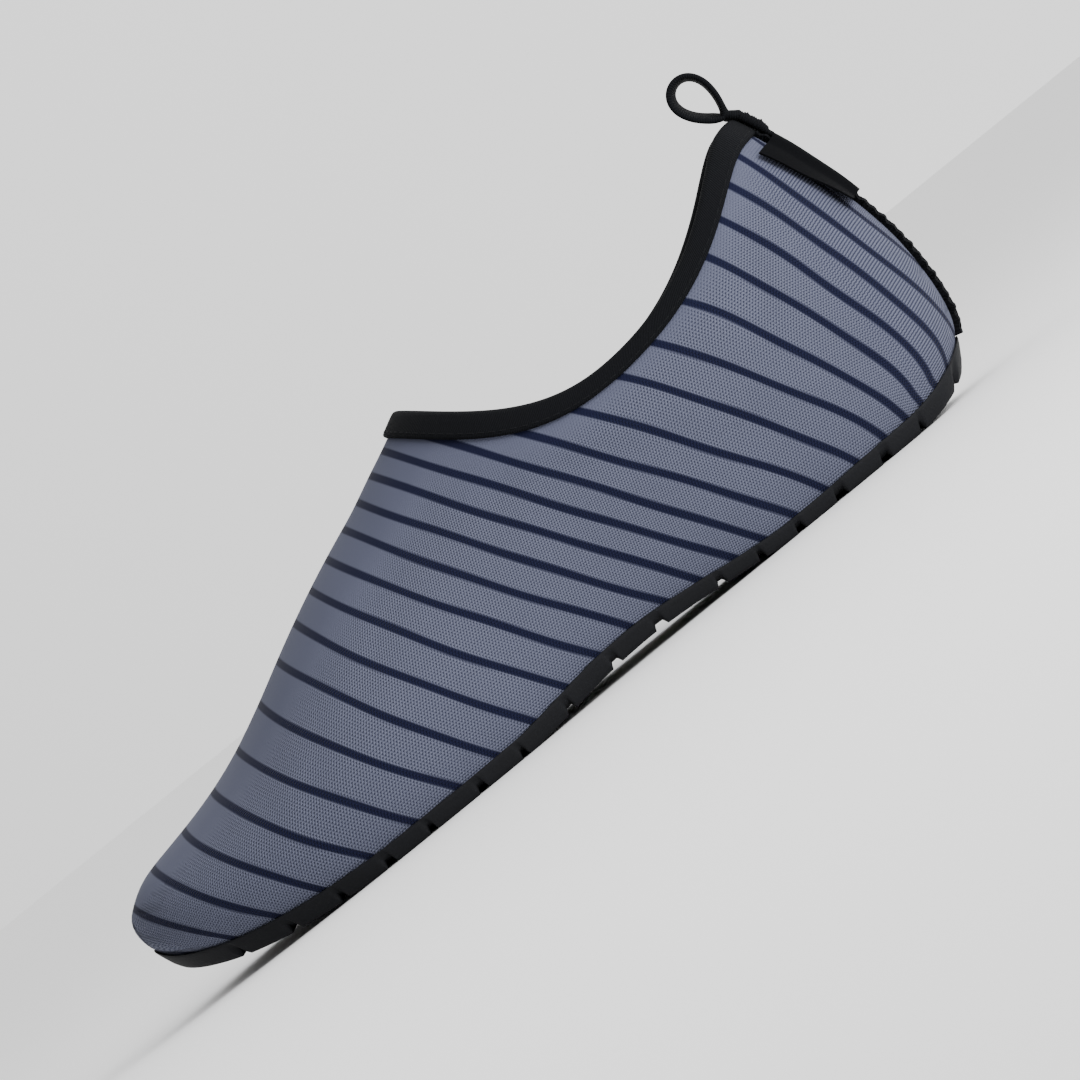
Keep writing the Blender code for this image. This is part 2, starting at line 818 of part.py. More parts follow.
def make_pull_loop(material, collection):
    """One tape: a tail sewn down over the binding at the heel, and a loop that leans forwards."""
    tape = LOOP_TAPE
    standing = BINDING_GAP + BINDING + GAP
    sag = TAPE_WIDTH**2 / (2 * BALL_WIDTH)
    seat_up = [up_below_collar(0.0, BINDING_LEG + LOOP_TAIL), 1.0]
    inner, outer = [], []
    for i in range(TAIL_ROWS + 1):
        up = seat_up[0] + (seat_up[1] - seat_up[0]) * i / TAIL_ROWS
        point, normal = upper_point(0.0, up), upper_normal(0.0, up)
        flat = Vector((normal.x, 0.0, normal.z)).normalized()
        inner.append(point + flat * (standing + sag))
        outer.append(point + flat * (standing + sag + tape))
    crown = upper_point(0.0, 1.0) + Vector((0.0, 0.0, standing))
    lean = Vector((-math.sin(LOOP_LEAN), 0.0, math.cos(LOOP_LEAN)))
    forward = Vector((-math.cos(LOOP_LEAN), 0.0, -math.sin(LOOP_LEAN)))
    root = crown + Vector((0.0, 0.0, tape))

    def loop_point(share, grow):
        ahead, up = teardrop(share, LOOP_HEIGHT + 2 * grow, LOOP_WIDTH + 2 * grow)
        return root + forward * ahead + lean * (up - grow)

    span = 1 - 2 * LOOP_NECK
    ring = [loop_point(LOOP_NECK + span * i / LOOP_POINTS, tape / 2) for i in range(LOOP_POINTS + 1)]
    hole = [loop_point(i / LOOP_POINTS, -tape / 2) for i in range(LOOP_POINTS)]
    outline = inner + ring + list(reversed(outer))
    curve = bpy.data.curves.new("pull_loop", "CURVE")
    curve.dimensions = "2D"
    curve.fill_mode = "BOTH"
    curve.extrude = TAPE_WIDTH / 2
    for line in (outline, hole):
        spline = curve.splines.new("POLY")
        spline.points.add(len(line) - 1)
        for knot, point in zip(spline.points, line):
            knot.co = (point.x, point.z, 0.0, 1.0)
        spline.use_cyclic_u = True
    curve.materials.append(material)
    made = bpy.data.objects.new("pull_loop", curve)
    made.rotation_euler = (math.radians(90), 0.0, 0.0)
    collection.objects.link(made)
    return made


def main():
    for old in list(bpy.data.objects):
        bpy.data.objects.remove(old)
    shoe = new_collection("water_shoe")
    knit = new_material("striped_knit", (0.125, 0.140, 0.195), 0.85)
    rubber = new_material("black_rubber", (0.014, 0.017, 0.020), 0.55)
    foam = new_material("insole_foam", (0.030, 0.032, 0.036), 0.90)
    tape = new_material("black_tape", (0.008, 0.008, 0.010), 0.80)
    woven = new_material("woven_label", (0.010, 0.010, 0.011), 0.70)
    make_outsole(rubber, shoe)
    make_insole(foam, shoe)
    make_upper(knit, shoe)
    make_binding(tape, shoe)
    make_heel_tape(tape, shoe)
    make_heel_label(woven, shoe)
    make_pull_loop(tape, shoe)


main()
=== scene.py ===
"""Looks of the slip-on water shoe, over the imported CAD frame.

The row frame is in metres: +Z up, the toe towards -X, the outer side towards -Y. As in the CAD,
a length along the shoe runs from the heel's rearmost point towards the toe. Every piece is a
primitive whose points are moved to places worked out from the shoe's own curves.
"""

import math

import bpy
import numpy as np
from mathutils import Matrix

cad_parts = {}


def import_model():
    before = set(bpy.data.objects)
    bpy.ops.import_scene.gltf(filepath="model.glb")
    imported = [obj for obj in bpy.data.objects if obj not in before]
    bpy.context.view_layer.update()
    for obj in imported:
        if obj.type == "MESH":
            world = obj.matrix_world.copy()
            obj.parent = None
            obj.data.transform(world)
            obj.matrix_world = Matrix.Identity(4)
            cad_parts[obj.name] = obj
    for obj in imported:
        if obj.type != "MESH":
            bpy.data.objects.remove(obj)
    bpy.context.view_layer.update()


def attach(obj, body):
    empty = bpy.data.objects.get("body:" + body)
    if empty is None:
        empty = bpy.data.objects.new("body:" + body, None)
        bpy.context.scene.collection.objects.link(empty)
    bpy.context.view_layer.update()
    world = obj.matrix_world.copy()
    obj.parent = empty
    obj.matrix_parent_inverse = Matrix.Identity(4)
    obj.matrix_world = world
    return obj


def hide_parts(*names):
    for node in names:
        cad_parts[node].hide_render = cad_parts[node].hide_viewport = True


# Upper, as in the CAD
LENGTH = 0.2608
BALL_WIDTH = 0.0900
INSTEP_RISE = 0.0795
HEEL_HEIGHT = 0.0893
COLLAR_DIP = 0.0255
COLLAR_FRONT = 0.1268
HEEL_TUCK = 0.0085
HEEL_LEAN = 0.0145
TOE_TUCK = 0.0042
SIDE_TUCK = 0.0027
ANKLE_NARROWING = 0.0052
ANKLE_RISE = (0.35, 1.10)
ANKLE_REACH = (0.20, 0.45)
ANKLE_END = 0.25
SECTION_POWER = 2.15
FABRIC = 0.0018

# Sole, as in the CAD
TOE_SPRING = 0.0120
ARCH_RISE = 0.0035
HEEL_ROLL = 0.0052
SOLE_FLOOR = 0.0030
SOLE_SIDE = 0.0050
SOLE_LIP = 0.0010
SOLE_DRAFT = 0.0006
GROOVE_WIDTH = 0.0026
GROOVE_DEPTH = 0.0014
NOTCH_DEPTH = 0.0022
INSOLE = 0.0030

# Tapes and label, as in the CAD
BINDING = 0.0011
BINDING_GAP = 0.0003
BINDING_LEG = 0.0060
BINDING_INNER_LEG = 0.0055
TAPE_WIDTH = 0.0080
HEEL_TAPE = 0.0019
LOOP_TAPE = 0.0014
LOOP_HEIGHT = 0.0142
LOOP_WIDTH = 0.0105
LOOP_LEAN = math.radians(21)
LOOP_TAIL = 0.0040
LOOP_TWIST = math.radians(17)
LABEL = 0.0005
LABEL_HEIGHT = 0.0240
LABEL_FLAP = 0.0135
LABEL_ROOT = 0.0034

# Rib of the woven tapes, and radius of the sewing thread
RIB_PITCH = 0.0006
THREAD = 0.00015

GAP = 0.0003
HEEL_REST = 0.0430

# Mesh fineness
STATIONS = 180
RISES = 96
RIDGE_POINTS = 240
NOSE_POINTS = 60

# The power that sets rows closer at the sole than at the collar, the distance under which points
# are one, and how often the search for a crossing halves its range
RISES_CROWD = 1.15
WELD = 0.00001
HALVINGS = 28

# The plan outline at the widest level. Half width is fullness times half the ball width times
# the sine of the station's angle, and centre is a share of the ball width towards the inner side.
# ridge is how far the top line lies inwards of that centre, as a share of the ball width.
OUTLINE = [
    # station, fullness, centre, ridge
    (0.00, 1.25, 0.000, 0.000),
    (0.03, 1.20, 0.000, 0.000),
    (0.07, 1.10, 0.000, 0.000),
    (0.12, 0.99, 0.000, 0.000),
    (0.18, 0.90, -0.002, 0.002),
    (0.26, 0.81, -0.009, 0.008),
    (0.36, 0.745, -0.024, 0.024),
    (0.45, 0.745, -0.036, 0.044),
    (0.54, 0.825, -0.040, 0.060),
    (0.62, 0.945, -0.033, 0.068),
    (0.70, 1.080, -0.013, 0.066),
    (0.76, 1.170, 0.004, 0.060),
    (0.82, 1.250, 0.024, 0.050),
    (0.88, 1.330, 0.044, 0.036),
    (0.93, 1.400, 0.060, 0.022),
    (0.97, 1.450, 0.072, 0.009),
    (1.00, 1.480, 0.079, 0.000),
]

# The top line above the feather line, as a share of the instep's rise. Behind the collar it is
# the shin, which only shapes the sections. belly is the widest level, as a share of the same.
TOP_LINE = [
    # station, rise, belly
    (0.00, 2.15, 0.190),
    (0.15, 1.98, 0.182),
    (0.25, 1.72, 0.170),
    (0.33, 1.45, 0.160),
    (0.40, 1.21, 0.150),
    (0.486, 1.000, 0.142),
    (0.530, 0.946, 0.138),
    (0.586, 0.879, 0.134),
    (0.654, 0.787, 0.130),
    (0.726, 0.672, 0.124),
    (0.809, 0.528, 0.116),
    (0.899, 0.396, 0.104),
    (0.944, 0.324, 0.096),
    (0.965, 0.276, 0.090),
    (0.985, 0.201, 0.082),
    (1.00, 0.073, 0.073),
]

# The collar edge in side view, below a straight line from its back to its front.
COLLAR_LINE = [
    # share of the way to the front, share of the dip
    (0.00, 0.000),
    (0.05, 0.040),
    (0.10, 0.170),
    (0.17, 0.400),
    (0.28, 0.700),
    (0.41, 0.915),
    (0.55, 1.000),
    (0.65, 0.975),
    (0.74, 0.860),
    (0.84, 0.610),
    (0.92, 0.325),
    (1.00, 0.000),
]

# The back of the heel: how far it lies before the rearmost point.
HEEL_CURVE = [
    # share of the way up to the collar, share of the tuck, share of the lean
    (0.00, 1.00, 0.00),
    (0.04, 0.61, 0.00),
    (0.10, 0.27, 0.00),
    (0.17, 0.10, 0.00),
    (0.25, 0.02, 0.00),
    (0.33, 0.00, 0.00),
    (0.40, 0.00, 0.015),
    (0.50, 0.00, 0.090),
    (0.60, 0.00, 0.205),
    (0.70, 0.00, 0.350),
    (0.80, 0.00, 0.530),
    (0.90, 0.00, 0.750),
    (1.00, 0.00, 1.000),
]

# The underside of the sole above the floor. It is flat where all three are nought.
BOTTOM_LINE = [
    # station, share of the heel's roll, of the arch, of the toe spring
    (0.000, 1.90, 0.00, 0.00),
    (0.032, 1.00, 0.00, 0.00),
    (0.045, 0.69, 0.00, 0.00),
    (0.060, 0.42, 0.00, 0.00),
    (0.080, 0.17, 0.00, 0.00),
    (0.100, 0.04, 0.00, 0.00),
    (0.115, 0.00, 0.00, 0.00),
    (0.260, 0.00, 0.00, 0.00),
    (0.320, 0.00, 0.35, 0.00),
    (0.380, 0.00, 0.82, 0.00),
    (0.430, 0.00, 1.00, 0.00),
    (0.480, 0.00, 0.84, 0.00),
    (0.535, 0.00, 0.36, 0.00),
    (0.590, 0.00, 0.00, 0.00),
    (0.745, 0.00, 0.00, 0.00),
    (0.800, 0.00, 0.00, 0.04),
    (0.840, 0.00, 0.00, 0.11),
    (0.880, 0.00, 0.00, 0.23),
    (0.920, 0.00, 0.00, 0.42),
    (0.950, 0.00, 0.00, 0.63),
    (0.970, 0.00, 0.00, 0.81),
    (0.985, 0.00, 0.00, 1.00),
    (1.000, 0.00, 0.00, 1.28),
]

# The height of the sole's side, as a share of its full height.
SOLE_SIDE_LINE = [
    # station, share
    (0.00, 0.98),
    (0.12, 1.00),
    (0.22, 0.84),
    (0.30, 0.80),
    (0.38, 0.88),
    (0.48, 1.04),
    (0.60, 0.98),
    (0.75, 0.96),
    (0.90, 1.04),
    (1.00, 0.92),
]

# Grooves across the sole, which come out at its side as notches.
GROOVES = [
    # station, share of the groove's width
    (0.052, 0.9),
    (0.105, 0.7),
    (0.150, 1.2),
    (0.205, 1.4),
    (0.255, 1.0),
    (0.300, 0.8),
    (0.345, 1.0),
    (0.415, 1.3),
    (0.470, 1.1),
    (0.530, 1.0),
    (0.590, 0.8),
    (0.640, 1.1),
    (0.700, 0.9),
    (0.750, 1.2),
    (0.805, 0.9),
    (0.860, 1.1),
    (0.915, 0.8),
]

# Grooves along the sole, at shares of its half width, with the share that each takes.
LONG_GROOVES = [(-0.40, 0.055), (0.40, 0.055)]

# The stripes, numbered from the toe, in millimetres on a shoe 267 mm long. foot and head are how
# far behind the toe a stripe starts at the sole and ends at the instep or collar, height is where
# it ends, and bow is how far its middle bends towards the toe.
DRAWN_LENGTH = 267
STRIPE_SCALE = LENGTH / DRAWN_LENGTH
STRIPES = [
    # number, foot, head, height, bow
    (-2, -20, -14, 14, 0),
    (0, 2, -2, 17, 0),
    (1, 10, 0, 21, 0.3),
    (2, 23, 5, 31, 0.6),
    (4, 49, 27, 39.5, 1.0),
    (6, 78, 51, 47, 1.2),
    (8, 104, 73.9, 58, 1.3),
    (10, 128, 91.4, 67.5, 1.3),
    (12, 150, 107.4, 75, 1.1),
    (14, 171, 121.2, 82, 0.7),
    (15, 181, 127.6, 85, 0.4),
    (16, 190, 142, 76, 0.0),
    (18, 210, 174, 59, -1.0),
    (20, 230, 200, 60, -1.8),
    (22, 244.5, 222.8, 70.5, -2.2),
    (24, 258, 240, 80.5, -1.6),
    (26, 270, 252, 92, -0.7),
    (28, 283, 264, 104, 0.0),
]
FIRST_STRIPE = float(STRIPES[0][0])
LAST_STRIPE = float(STRIPES[-1][0])
STRIPE_WIDTH = 0.0020

# A stripe's soft edge to either side, and how far its stitches make that edge ragged
STRIPE_BLUR = 0.0003
STRIPE_RAGGED = 0.00022

# How far stripes wander, as a share of the way to the next one, on waves that each have a length
# in metres a radian and a shift in radians from one stripe to the next
STRIPE_WANDER = 0.012
STRIPE_WAVES = ((0.0075, 2.3), (0.0041, -3.1))

# How far a stripe's line runs on past its foot and its head, as shares of its rise, and the
# stripes between which its bow gets flatter in the middle
STRIPE_ENDS = (-0.2, 1.15)
BOWS_FLATTEN = (14, 18)

# Soft creases of the fabric, in millimetres: a place in side view, measured forward from the heel
# and up, the crease's slope in degrees, its half length and half width, and its height.
CREASES = [
    # side, forward, up, slope, length, width, height
    ("outer", 92, 44, 24, 26, 6.0, -0.55),
    ("outer", 112, 60, -38, 20, 5.5, -0.50),
    ("outer", 60, 34, 12, 22, 6.5, 0.45),
    ("outer", 36, 58, -62, 18, 6.0, -0.45),
    ("outer", 172, 40, -30, 18, 5.5, -0.50),
    ("outer", 196, 30, -48, 14, 5.0, -0.40),
    ("outer", 222, 24, -60, 12, 5.0, 0.35),
    ("inner", 84, 40, 20, 26, 6.5, -0.60),
    ("inner", 118, 54, -35, 22, 6.0, -0.55),
    ("inner", 48, 46, 50, 20, 6.5, -0.45),
    ("inner", 166, 38, -28, 18, 5.5, -0.50),
    ("inner", 204, 28, -50, 14, 5.0, -0.40),
]

# The knit: stitches along a stripe, and rows of them from one stripe to the next
STITCH_PITCH = 0.00083
ROWS_PER_STRIPE = 14

# The least and most distance between stripes, the share of a stripe between the marks that
# stitches are counted along, and the degree of the curve on which both sides' stitches meet
PITCH_RANGE = (0.005, 0.016)
MARK_STEP = 0.5
MEETING_DEGREE = 4

# Where the stretched knit grows smooth: by share of the way from the widest level up to the top
# line, and by share of the way up to the collar, where it gets only this smooth
SMOOTH_INSTEP = (0.60, 0.86)
SMOOTH_COLLAR = (0.76, 0.95)
COLLAR_SMOOTHNESS = 0.8

# Where, in metres behind the toe, the stitches pull into ribs, and where the heel tucks in. The
# stripes follow a share of that tuck.
RIBBED = (0.230, 0.253)
TUCKED = (0.226, 0.252)
TUCK_FOLLOWED = 0.45

# Sizes of the finishes' patterns, in millimetres. The tape's fuzz, the rubber's grain, the foam's
# nap and the label's weave are drawn coarser than real ones, so that they still show.
KNIT_PATCH = 16.67
TAPE_FUZZ = 1.111
RUBBER_GRAIN = 0.7143
RUBBER_PATCH = 11.11
STUD_WAVE = 2.4166
FOAM_NAP = 0.8333
LABEL_WEAVE = 0.6667

# Creases: how deep the hollows beside one are, and between which shares of the way up the fabric
# they fade in and out
CREASE_FLANKS = 0.6
CREASES_START = (0.03, 0.25)
CREASES_STOP = (0.96, 0.80)

# The outsole's rings, from the underside up its side. The lip's inner face follows, by share of
# the way up it.
SOLE_RINGS = [
    # share of the way up, how far inside the side, how far the lower part is raised
    (0.00, 0.0006, 0.0),
    (0.02, 0.0003, 0.0002),
    (0.08, 0.0001, 0.0002),
    (0.25, 0.0, 0.0),
    (0.50, 0.0, 0.0),
    (0.75, 0.0, 0.0),
    (0.90, 0.0001, 0.0),
    (0.97, 0.0003, 0.0),
    (1.00, 0.0007, 0.0),
]
LIP_RINGS = (0.96, 0.5)

# Columns of both faces, from the middle line out, close together at the grooves' walls
SOLE_COLUMNS = [0.0, 0.12, 0.24, 0.34, 0.366, 0.372, 0.38, 0.40]
SOLE_COLUMNS += [0.42, 0.428, 0.434, 0.46, 0.58, 0.70, 0.82, 0.93]
INSOLE_COLUMNS = [0.0, 0.3, 0.6, 0.85]

# Rings of the insole's rounded edge: how far inside, and how far above its lower face or below
# its upper one
INSOLE_LOWER_EDGE = [(0.0008, 0.0), (0.0, 0.0006)]
INSOLE_UPPER_EDGE = [(0.0, 0.0007), (0.0002, 0.0002), (0.0007, 0.0)]

# Grooves: where a cross groove's stations lie beyond its half width, how near to them an even
# station may lie, as a share of its step, how far inside that half width the wall starts and
# ends, and a lengthwise groove's half width and wall, as shares of its own width
GROOVE_EDGE_CUTS = (0.0006, 0.0001, -0.0003, -0.0006)
CLEAR_OF_CUTS = 0.3
GROOVE_WALL = (-0.0001, 0.0006)
LONG_GROOVE_HALF = 0.62
LONG_GROOVE_WALL = 0.2

# Binding: how far its edges and fold draw in or stand out, its bulge between them, and the last
# step of its ribs, which closes the ring
BINDING_PINCH = 0.0004
BINDING_BULGE = 0.0001
CLOSING_STEP = 0.001

# Heel tape: its clearance above the sole and off the fabric, the gap where two pieces butt, and
# how much thinner its edges are, as a share of its thickness
TAPE_ABOVE_SOLE = 0.0006
TAPE_LIFT = 0.0001
BUTTED = 0.0001
TAPE_THINNER_EDGE = 0.3

# The seam's puckers: each wave's strength, its length in metres and where it starts, in radians.
# They move the tape in and out, and widen it by a share.
PUCKERS = ((1.0, 0.0031, 0.0), (0.5, 0.0047, 1.0))
PUCKER_DEPTH = 0.00034
PUCKER_WIDENS = 0.07

# Label: how far from the seam it steps down from the tape, its clearance, and how far it lifts
LABEL_STEPS_DOWN = (0.0036, 0.0075)
LABEL_CLEARANCE = 0.0002
LABEL_EDGE_LIFT = 0.0007
LABEL_CORNER_LIFT = 0.0020
LABEL_RIPPLE = 0.0002

# Pull loop: its clearance on the binding, how rounded its tape's edges are, as a share of the
# thickness, the shares of the drop between which it runs, just short of the drop's point, and how
# much taller the drop is than the loop. Taper and fullness shape the drop.
LOOP_CLEARANCE = 0.0002
TAPE_EDGE_ROUND = 0.45
LOOP_OPEN = (0.985, 0.03)
LOOP_POINT = 0.0010
DROP_TAPER = 0.85
DROP_FULLNESS = 1.12

# Where the loop's twist grows and then eases by half, as shares of the way round it
LOOP_TWISTS = (0.30, 0.72)
LOOP_UNTWISTS = (0.88, 1.0)

# The tack on the loop's tail: its extra thickness, as a share of the tape's, where it grows along
# the tail, how far it reaches round the loop, as a share of the way, and its bumps, each with a
# height, its radians over the tail's length, and a start in radians
TACK_SWELL = 0.75
TACK_GROWS = (0.12, 0.35)
SWELL_REACH = 0.12
TACK_BUMPS = ((0.00022, 33.0, 0.0), (0.00012, 57.0, 1.0))

# The tack's thread: the stretch of the tail that it covers, its sweeps and its distance from the
# tape's edge
TACK_SPAN = (0.25, 0.95)
TACK_SWEEPS = 22
TACK_MARGIN = 0.0009

# Seams: how deep a thread dips between stitches, in radii, how far a seam stays from the binding's
# edge and from the sole, how far the heel's seams lie from the middle, and how high they reach
STITCH_DIP = 2.2
SEAM_MARGIN = 0.0012
HEEL_SEAM_OUT = 0.0030
HEEL_SEAM_TOP = 0.0560

# Camera and light. The studio is brightest towards BRIGHT_SIDE.
CAMERA_AIM = (-0.0752, 0.0, 0.0386)
CAMERA_ELEVATION = math.radians(0.6)
CAMERA_ROLL = math.radians(-39.0)
CAMERA_DISTANCE = 1.137
SOFTBOX_PLACE = (0.62, -0.64, 0.40)
SOFTBOX_TARGET = (-0.09, 0.0, 0.04)
BRIGHT_SIDE = (0.85, 0.35, 0.40)


def smooth(rows, column, angular=False):
    """A natural cubic curve through one column of a table, against its first column.

    An angular curve runs against the station's angle, which rounds off both of its ends."""
    at = np.array([row[0] for row in rows], float)
    if angular:
        at = station_angle(at)
    value = np.array([row[column] for row in rows], float)
    step = np.diff(at)
    slope = np.diff(value) / step
    size = len(rows)
    system = np.eye(size)
    right = np.zeros(size)
    for i in range(1, size - 1):
        system[i, i - 1 : i + 2] = step[i - 1], 2 * (step[i - 1] + step[i]), step[i]
        right[i] = 6 * (slope[i] - slope[i - 1])
    bend = np.linalg.solve(system, right)

    def curve(share):
        x = station_angle(share) if angular else np.asarray(share, float)
        i = np.clip(np.searchsorted(at, x, side="right") - 1, 0, size - 2)
        near, far, h = x - at[i], at[i + 1] - x, step[i]
        cubic = (bend[i] * far**3 + bend[i + 1] * near**3) / (6 * h)
        start = value[i] / h - bend[i] * h / 6
        end = value[i + 1] / h - bend[i + 1] * h / 6
        return cubic + start * far + end * near

    return curve


def steady(rows, column):
    """A curve through one column of a table that never overshoots, so flat stretches stay flat."""
    at = np.array([row[0] for row in rows], float)
    value = np.array([row[column] for row in rows], float)
    slope = np.diff(value) / np.diff(at)
    tangent = np.zeros(len(rows))
    tangent[0], tangent[-1] = slope[0], slope[-1]
    both = slope[:-1] * slope[1:]
    total = slope[:-1] + slope[1:]
    tangent[1:-1] = np.where(both > 0, 2 * both / np.where(both > 0, total, 1.0), 0.0)

    def curve(share):
        share = np.asarray(share, float)
        i = np.clip(np.searchsorted(at, share, side="right") - 1, 0, len(at) - 2)
        h = at[i + 1] - at[i]
        t = (share - at[i]) / h
        return (
            value[i] * (1 + 2 * t) * (1 - t) ** 2
            + tangent[i] * h * t * (1 - t) ** 2
            + value[i + 1] * t * t * (3 - 2 * t)
            - tangent[i + 1] * h * t * t * (1 - t)
        )

    return curve


def station_angle(share):
    """The angle of a station: nought at the heel, half a turn at the toe."""
    return np.arccos(1 - 2 * np.clip(share, 0.0, 1.0))


def between(value, start, end):
    """From nought at start to one at end, level at both."""
    t = np.clip((value - start) / (end - start), 0.0, 1.0)
    return t * t * (3 - 2 * t)


def solve(function, low, high):
    """Where a rising function crosses nought, by halving, for a whole array at once."""
    for _ in range(HALVINGS):
        middle = (low + high) / 2
        short = function(middle) < 0
        low, high = np.where(short, middle, low), np.where(short, high, middle)
    return (low + high) / 2


fullness = smooth(OUTLINE, 1, angular=True)
centre_share = smooth(OUTLINE, 2)
ridge_share = smooth(OUTLINE, 3)
rise_share = smooth(TOP_LINE, 1, angular=True)
belly_share = smooth(TOP_LINE, 2, angular=True)
dip_share = smooth(COLLAR_LINE, 1)
tuck_share = steady(HEEL_CURVE, 1)
lean_share = smooth(HEEL_CURVE, 2)
roll_share = steady(BOTTOM_LINE, 1)
arch_share = steady(BOTTOM_LINE, 2)
spring_share = steady(BOTTOM_LINE, 3)
side_share = smooth(SOLE_SIDE_LINE, 1)
stripe_foot = steady(STRIPES, 1)
stripe_head = steady(STRIPES, 2)
stripe_height = steady(STRIPES, 3)
stripe_bow = steady(STRIPES, 4)


def bottom(x):
    """Height of the sole's underside above the floor."""
    share = x / LENGTH
    return HEEL_ROLL * roll_share(share) + ARCH_RISE * arch_share(share) + TOE_SPRING * spring_share(share)


def lip_top(x):
    """Height of the top of the sole's side."""
    return bottom(x) + SOLE_SIDE * side_share(x / LENGTH)


def feather(x):
    """Height of the upper's lower edge, just above the floor of the sole's tray."""
    return bottom(x) + SOLE_FLOOR + GAP


def top_line(x):
    """Height of the line along the top of the instep and toe."""
    return feather(x) + INSTEP_RISE * rise_share(x / LENGTH)


def belly(x):
    """Height at which the section is widest."""
    return feather(x) + INSTEP_RISE * belly_share(x / LENGTH)


HEEL_FEATHER_X = HEEL_TUCK
HEEL_FEATHER_Z = feather(HEEL_FEATHER_X)
TOE_FEATHER_X = LENGTH - TOE_TUCK
TOE_FEATHER_Z = feather(TOE_FEATHER_X)
NOSE_Z = top_line(LENGTH)


def heel_back(z):
    """Where the back of the heel lies at a height."""
    share = np.clip((z - HEEL_FEATHER_Z) / (HEEL_HEIGHT - HEEL_FEATHER_Z), 0.0, 1.0)
    return HEEL_TUCK * tuck_share(share) + HEEL_LEAN * lean_share(share)


def toe_front(z):
    """Where the front of the toe lies at a height, up to its foremost point."""
    left = 1 - np.clip((z - TOE_FEATHER_Z) / (NOSE_Z - TOE_FEATHER_Z), 0.0, 1.0)
    return LENGTH - TOE_TUCK * left * left


def even_curve(across, up):
    """A function from 0 to 1 along a line of points, even in length."""
    run = np.concatenate([[0.0], np.cumsum(np.hypot(np.diff(across), np.diff(up)))])

    def curve(share):
        wanted = np.clip(share, 0.0, 1.0) * run[-1]
        return np.interp(wanted, run, across), np.interp(wanted, run, up)

    return curve


def make_ridges():
    """The back of the heel, and the toe's front with the instep up to the collar."""
    heights = np.linspace(HEEL_FEATHER_Z, HEEL_HEIGHT, RIDGE_POINTS)
    nose = np.linspace(TOE_FEATHER_Z, NOSE_Z, NOSE_POINTS)[:-1]
    angles = np.linspace(math.pi, station_angle(COLLAR_FRONT / LENGTH), RIDGE_POINTS)
    x = LENGTH * (1 - np.cos(angles)) / 2
    front = np.concatenate([toe_front(nose), x]), np.concatenate([nose, top_line(x)])
    return even_curve(heel_back(heights), heights), even_curve(*front)


back_ridge, front_ridge = make_ridges()


def side_view(share, up):
    """A point of the side view, between heel and toe (share) and feather edge and collar (up)."""
    back_x, back_z = back_ridge(up)
    front_x, front_z = front_ridge(up)
    x = back_x + (front_x - back_x) * share
    z = back_z + (front_z - back_z) * share
    foot = HEEL_FEATHER_X + (TOE_FEATHER_X - HEEL_FEATHER_X) * share
    lift = feather(foot) - HEEL_FEATHER_Z * (1 - share) - TOE_FEATHER_Z * share
    return x, z + lift * (1 - up) - COLLAR_DIP * dip_share(share) * up


def half_width(x, z, up):
    """Half the width of the upper where the side view has this point, on the ring this far up."""
    back, front = back_ridge(up)[0], toe_front(front_ridge(up)[1])
    share = np.clip((x - back) / (front - back), 0.0, 1.0)
    wide = BALL_WIDTH / 2 * fullness(share) * 2 * np.sqrt(share * (1 - share))
    level = belly(x)
    top = np.maximum(top_line(x), level + 1e-6)
    low = 1 - np.maximum(z - feather(x), 0.0) / np.maximum(level - feather(x), 1e-6)
    high = np.clip((z - level) / (top - level), 0.0, 1.0)
    ankle = between(z / HEEL_HEIGHT, *ANKLE_RISE) * (1 - between(x / LENGTH, *ANKLE_REACH))
    above = wide * (1 - high**SECTION_POWER) ** 0.5
    above = above - ANKLE_NARROWING * ankle * np.minimum(wide / (ANKLE_END * BALL_WIDTH), 1.0)
    below = wide * (1 - 2 * SIDE_TUCK / BALL_WIDTH * low * low)
    return np.maximum(np.where(z < level, below, above), 0.0)


def middle_line(x, z):
    """Where the section's middle lies across the shoe: it moves inwards towards the top line."""
    level = belly(x)
    top = np.maximum(top_line(x), level + 1e-6)
    high = np.clip((z - level) / (top - level), 0.0, 1.0)
    return BALL_WIDTH * (centre_share(x / LENGTH) + ridge_share(x / LENGTH) * high * high)


def upper_point(angle, up):
    """Points of the fabric's outer face. The angle runs round the shoe, from the heel along the
    outer side to the toe at half a turn and back along the inner side."""
    angle, up = np.broadcast_arrays(np.asarray(angle, float), np.asarray(up, float))
    turn = np.mod(angle, 2 * math.pi)
    x, z = side_view((1 - np.cos(turn)) / 2, up)
    wide = np.where(np.abs(np.sin(turn)) < 1e-9, 0.0, half_width(x, z, up))
    y = middle_line(x, z) + np.where(turn <= math.pi, -wide, wide)
    return np.stack([HEEL_REST - x, y, z], axis=-1)


def unit(vectors):
    """The same directions with a length of one."""
    return vectors / np.maximum(np.linalg.norm(vectors, axis=-1, keepdims=True), 1e-12)


def upper_normal(angle, up):
    """The direction out of the fabric's outer face."""
    turn, step = math.pi / 64, 0.02
    angle, up = np.broadcast_arrays(np.asarray(angle, float), np.asarray(up, float))
    along = upper_point(angle + turn, up) - upper_point(angle - turn, up)
    rising = upper_point(angle, np.minimum(up + step, 1.0)) - upper_point(angle, np.maximum(up - step, 0.0))
    return unit(np.cross(rising, along))


def plan_normal(angle, up=0.0):
    """The direction out of the fabric, seen from above."""
    flat = upper_normal(angle, up)
    flat[..., 2] = 0.0
    return unit(flat)


def shoe_x(point):
    """How far a point lies along the shoe, from the heel's rearmost point."""
    return HEEL_REST - point[..., 0]


def up_at_height(angle, above_bottom, inside=0.0):
    """How far up the fabric a height above the sole's underside lies, on a face this far inside."""

    def over(up):
        point = upper_point(angle, up) - upper_normal(angle, up) * inside
        return point[..., 2] - bottom(shoe_x(point)) - above_bottom

    start = np.zeros_like(angle)
    return np.where(over(start) > 0, 0.0, solve(over, start, start + 0.5))


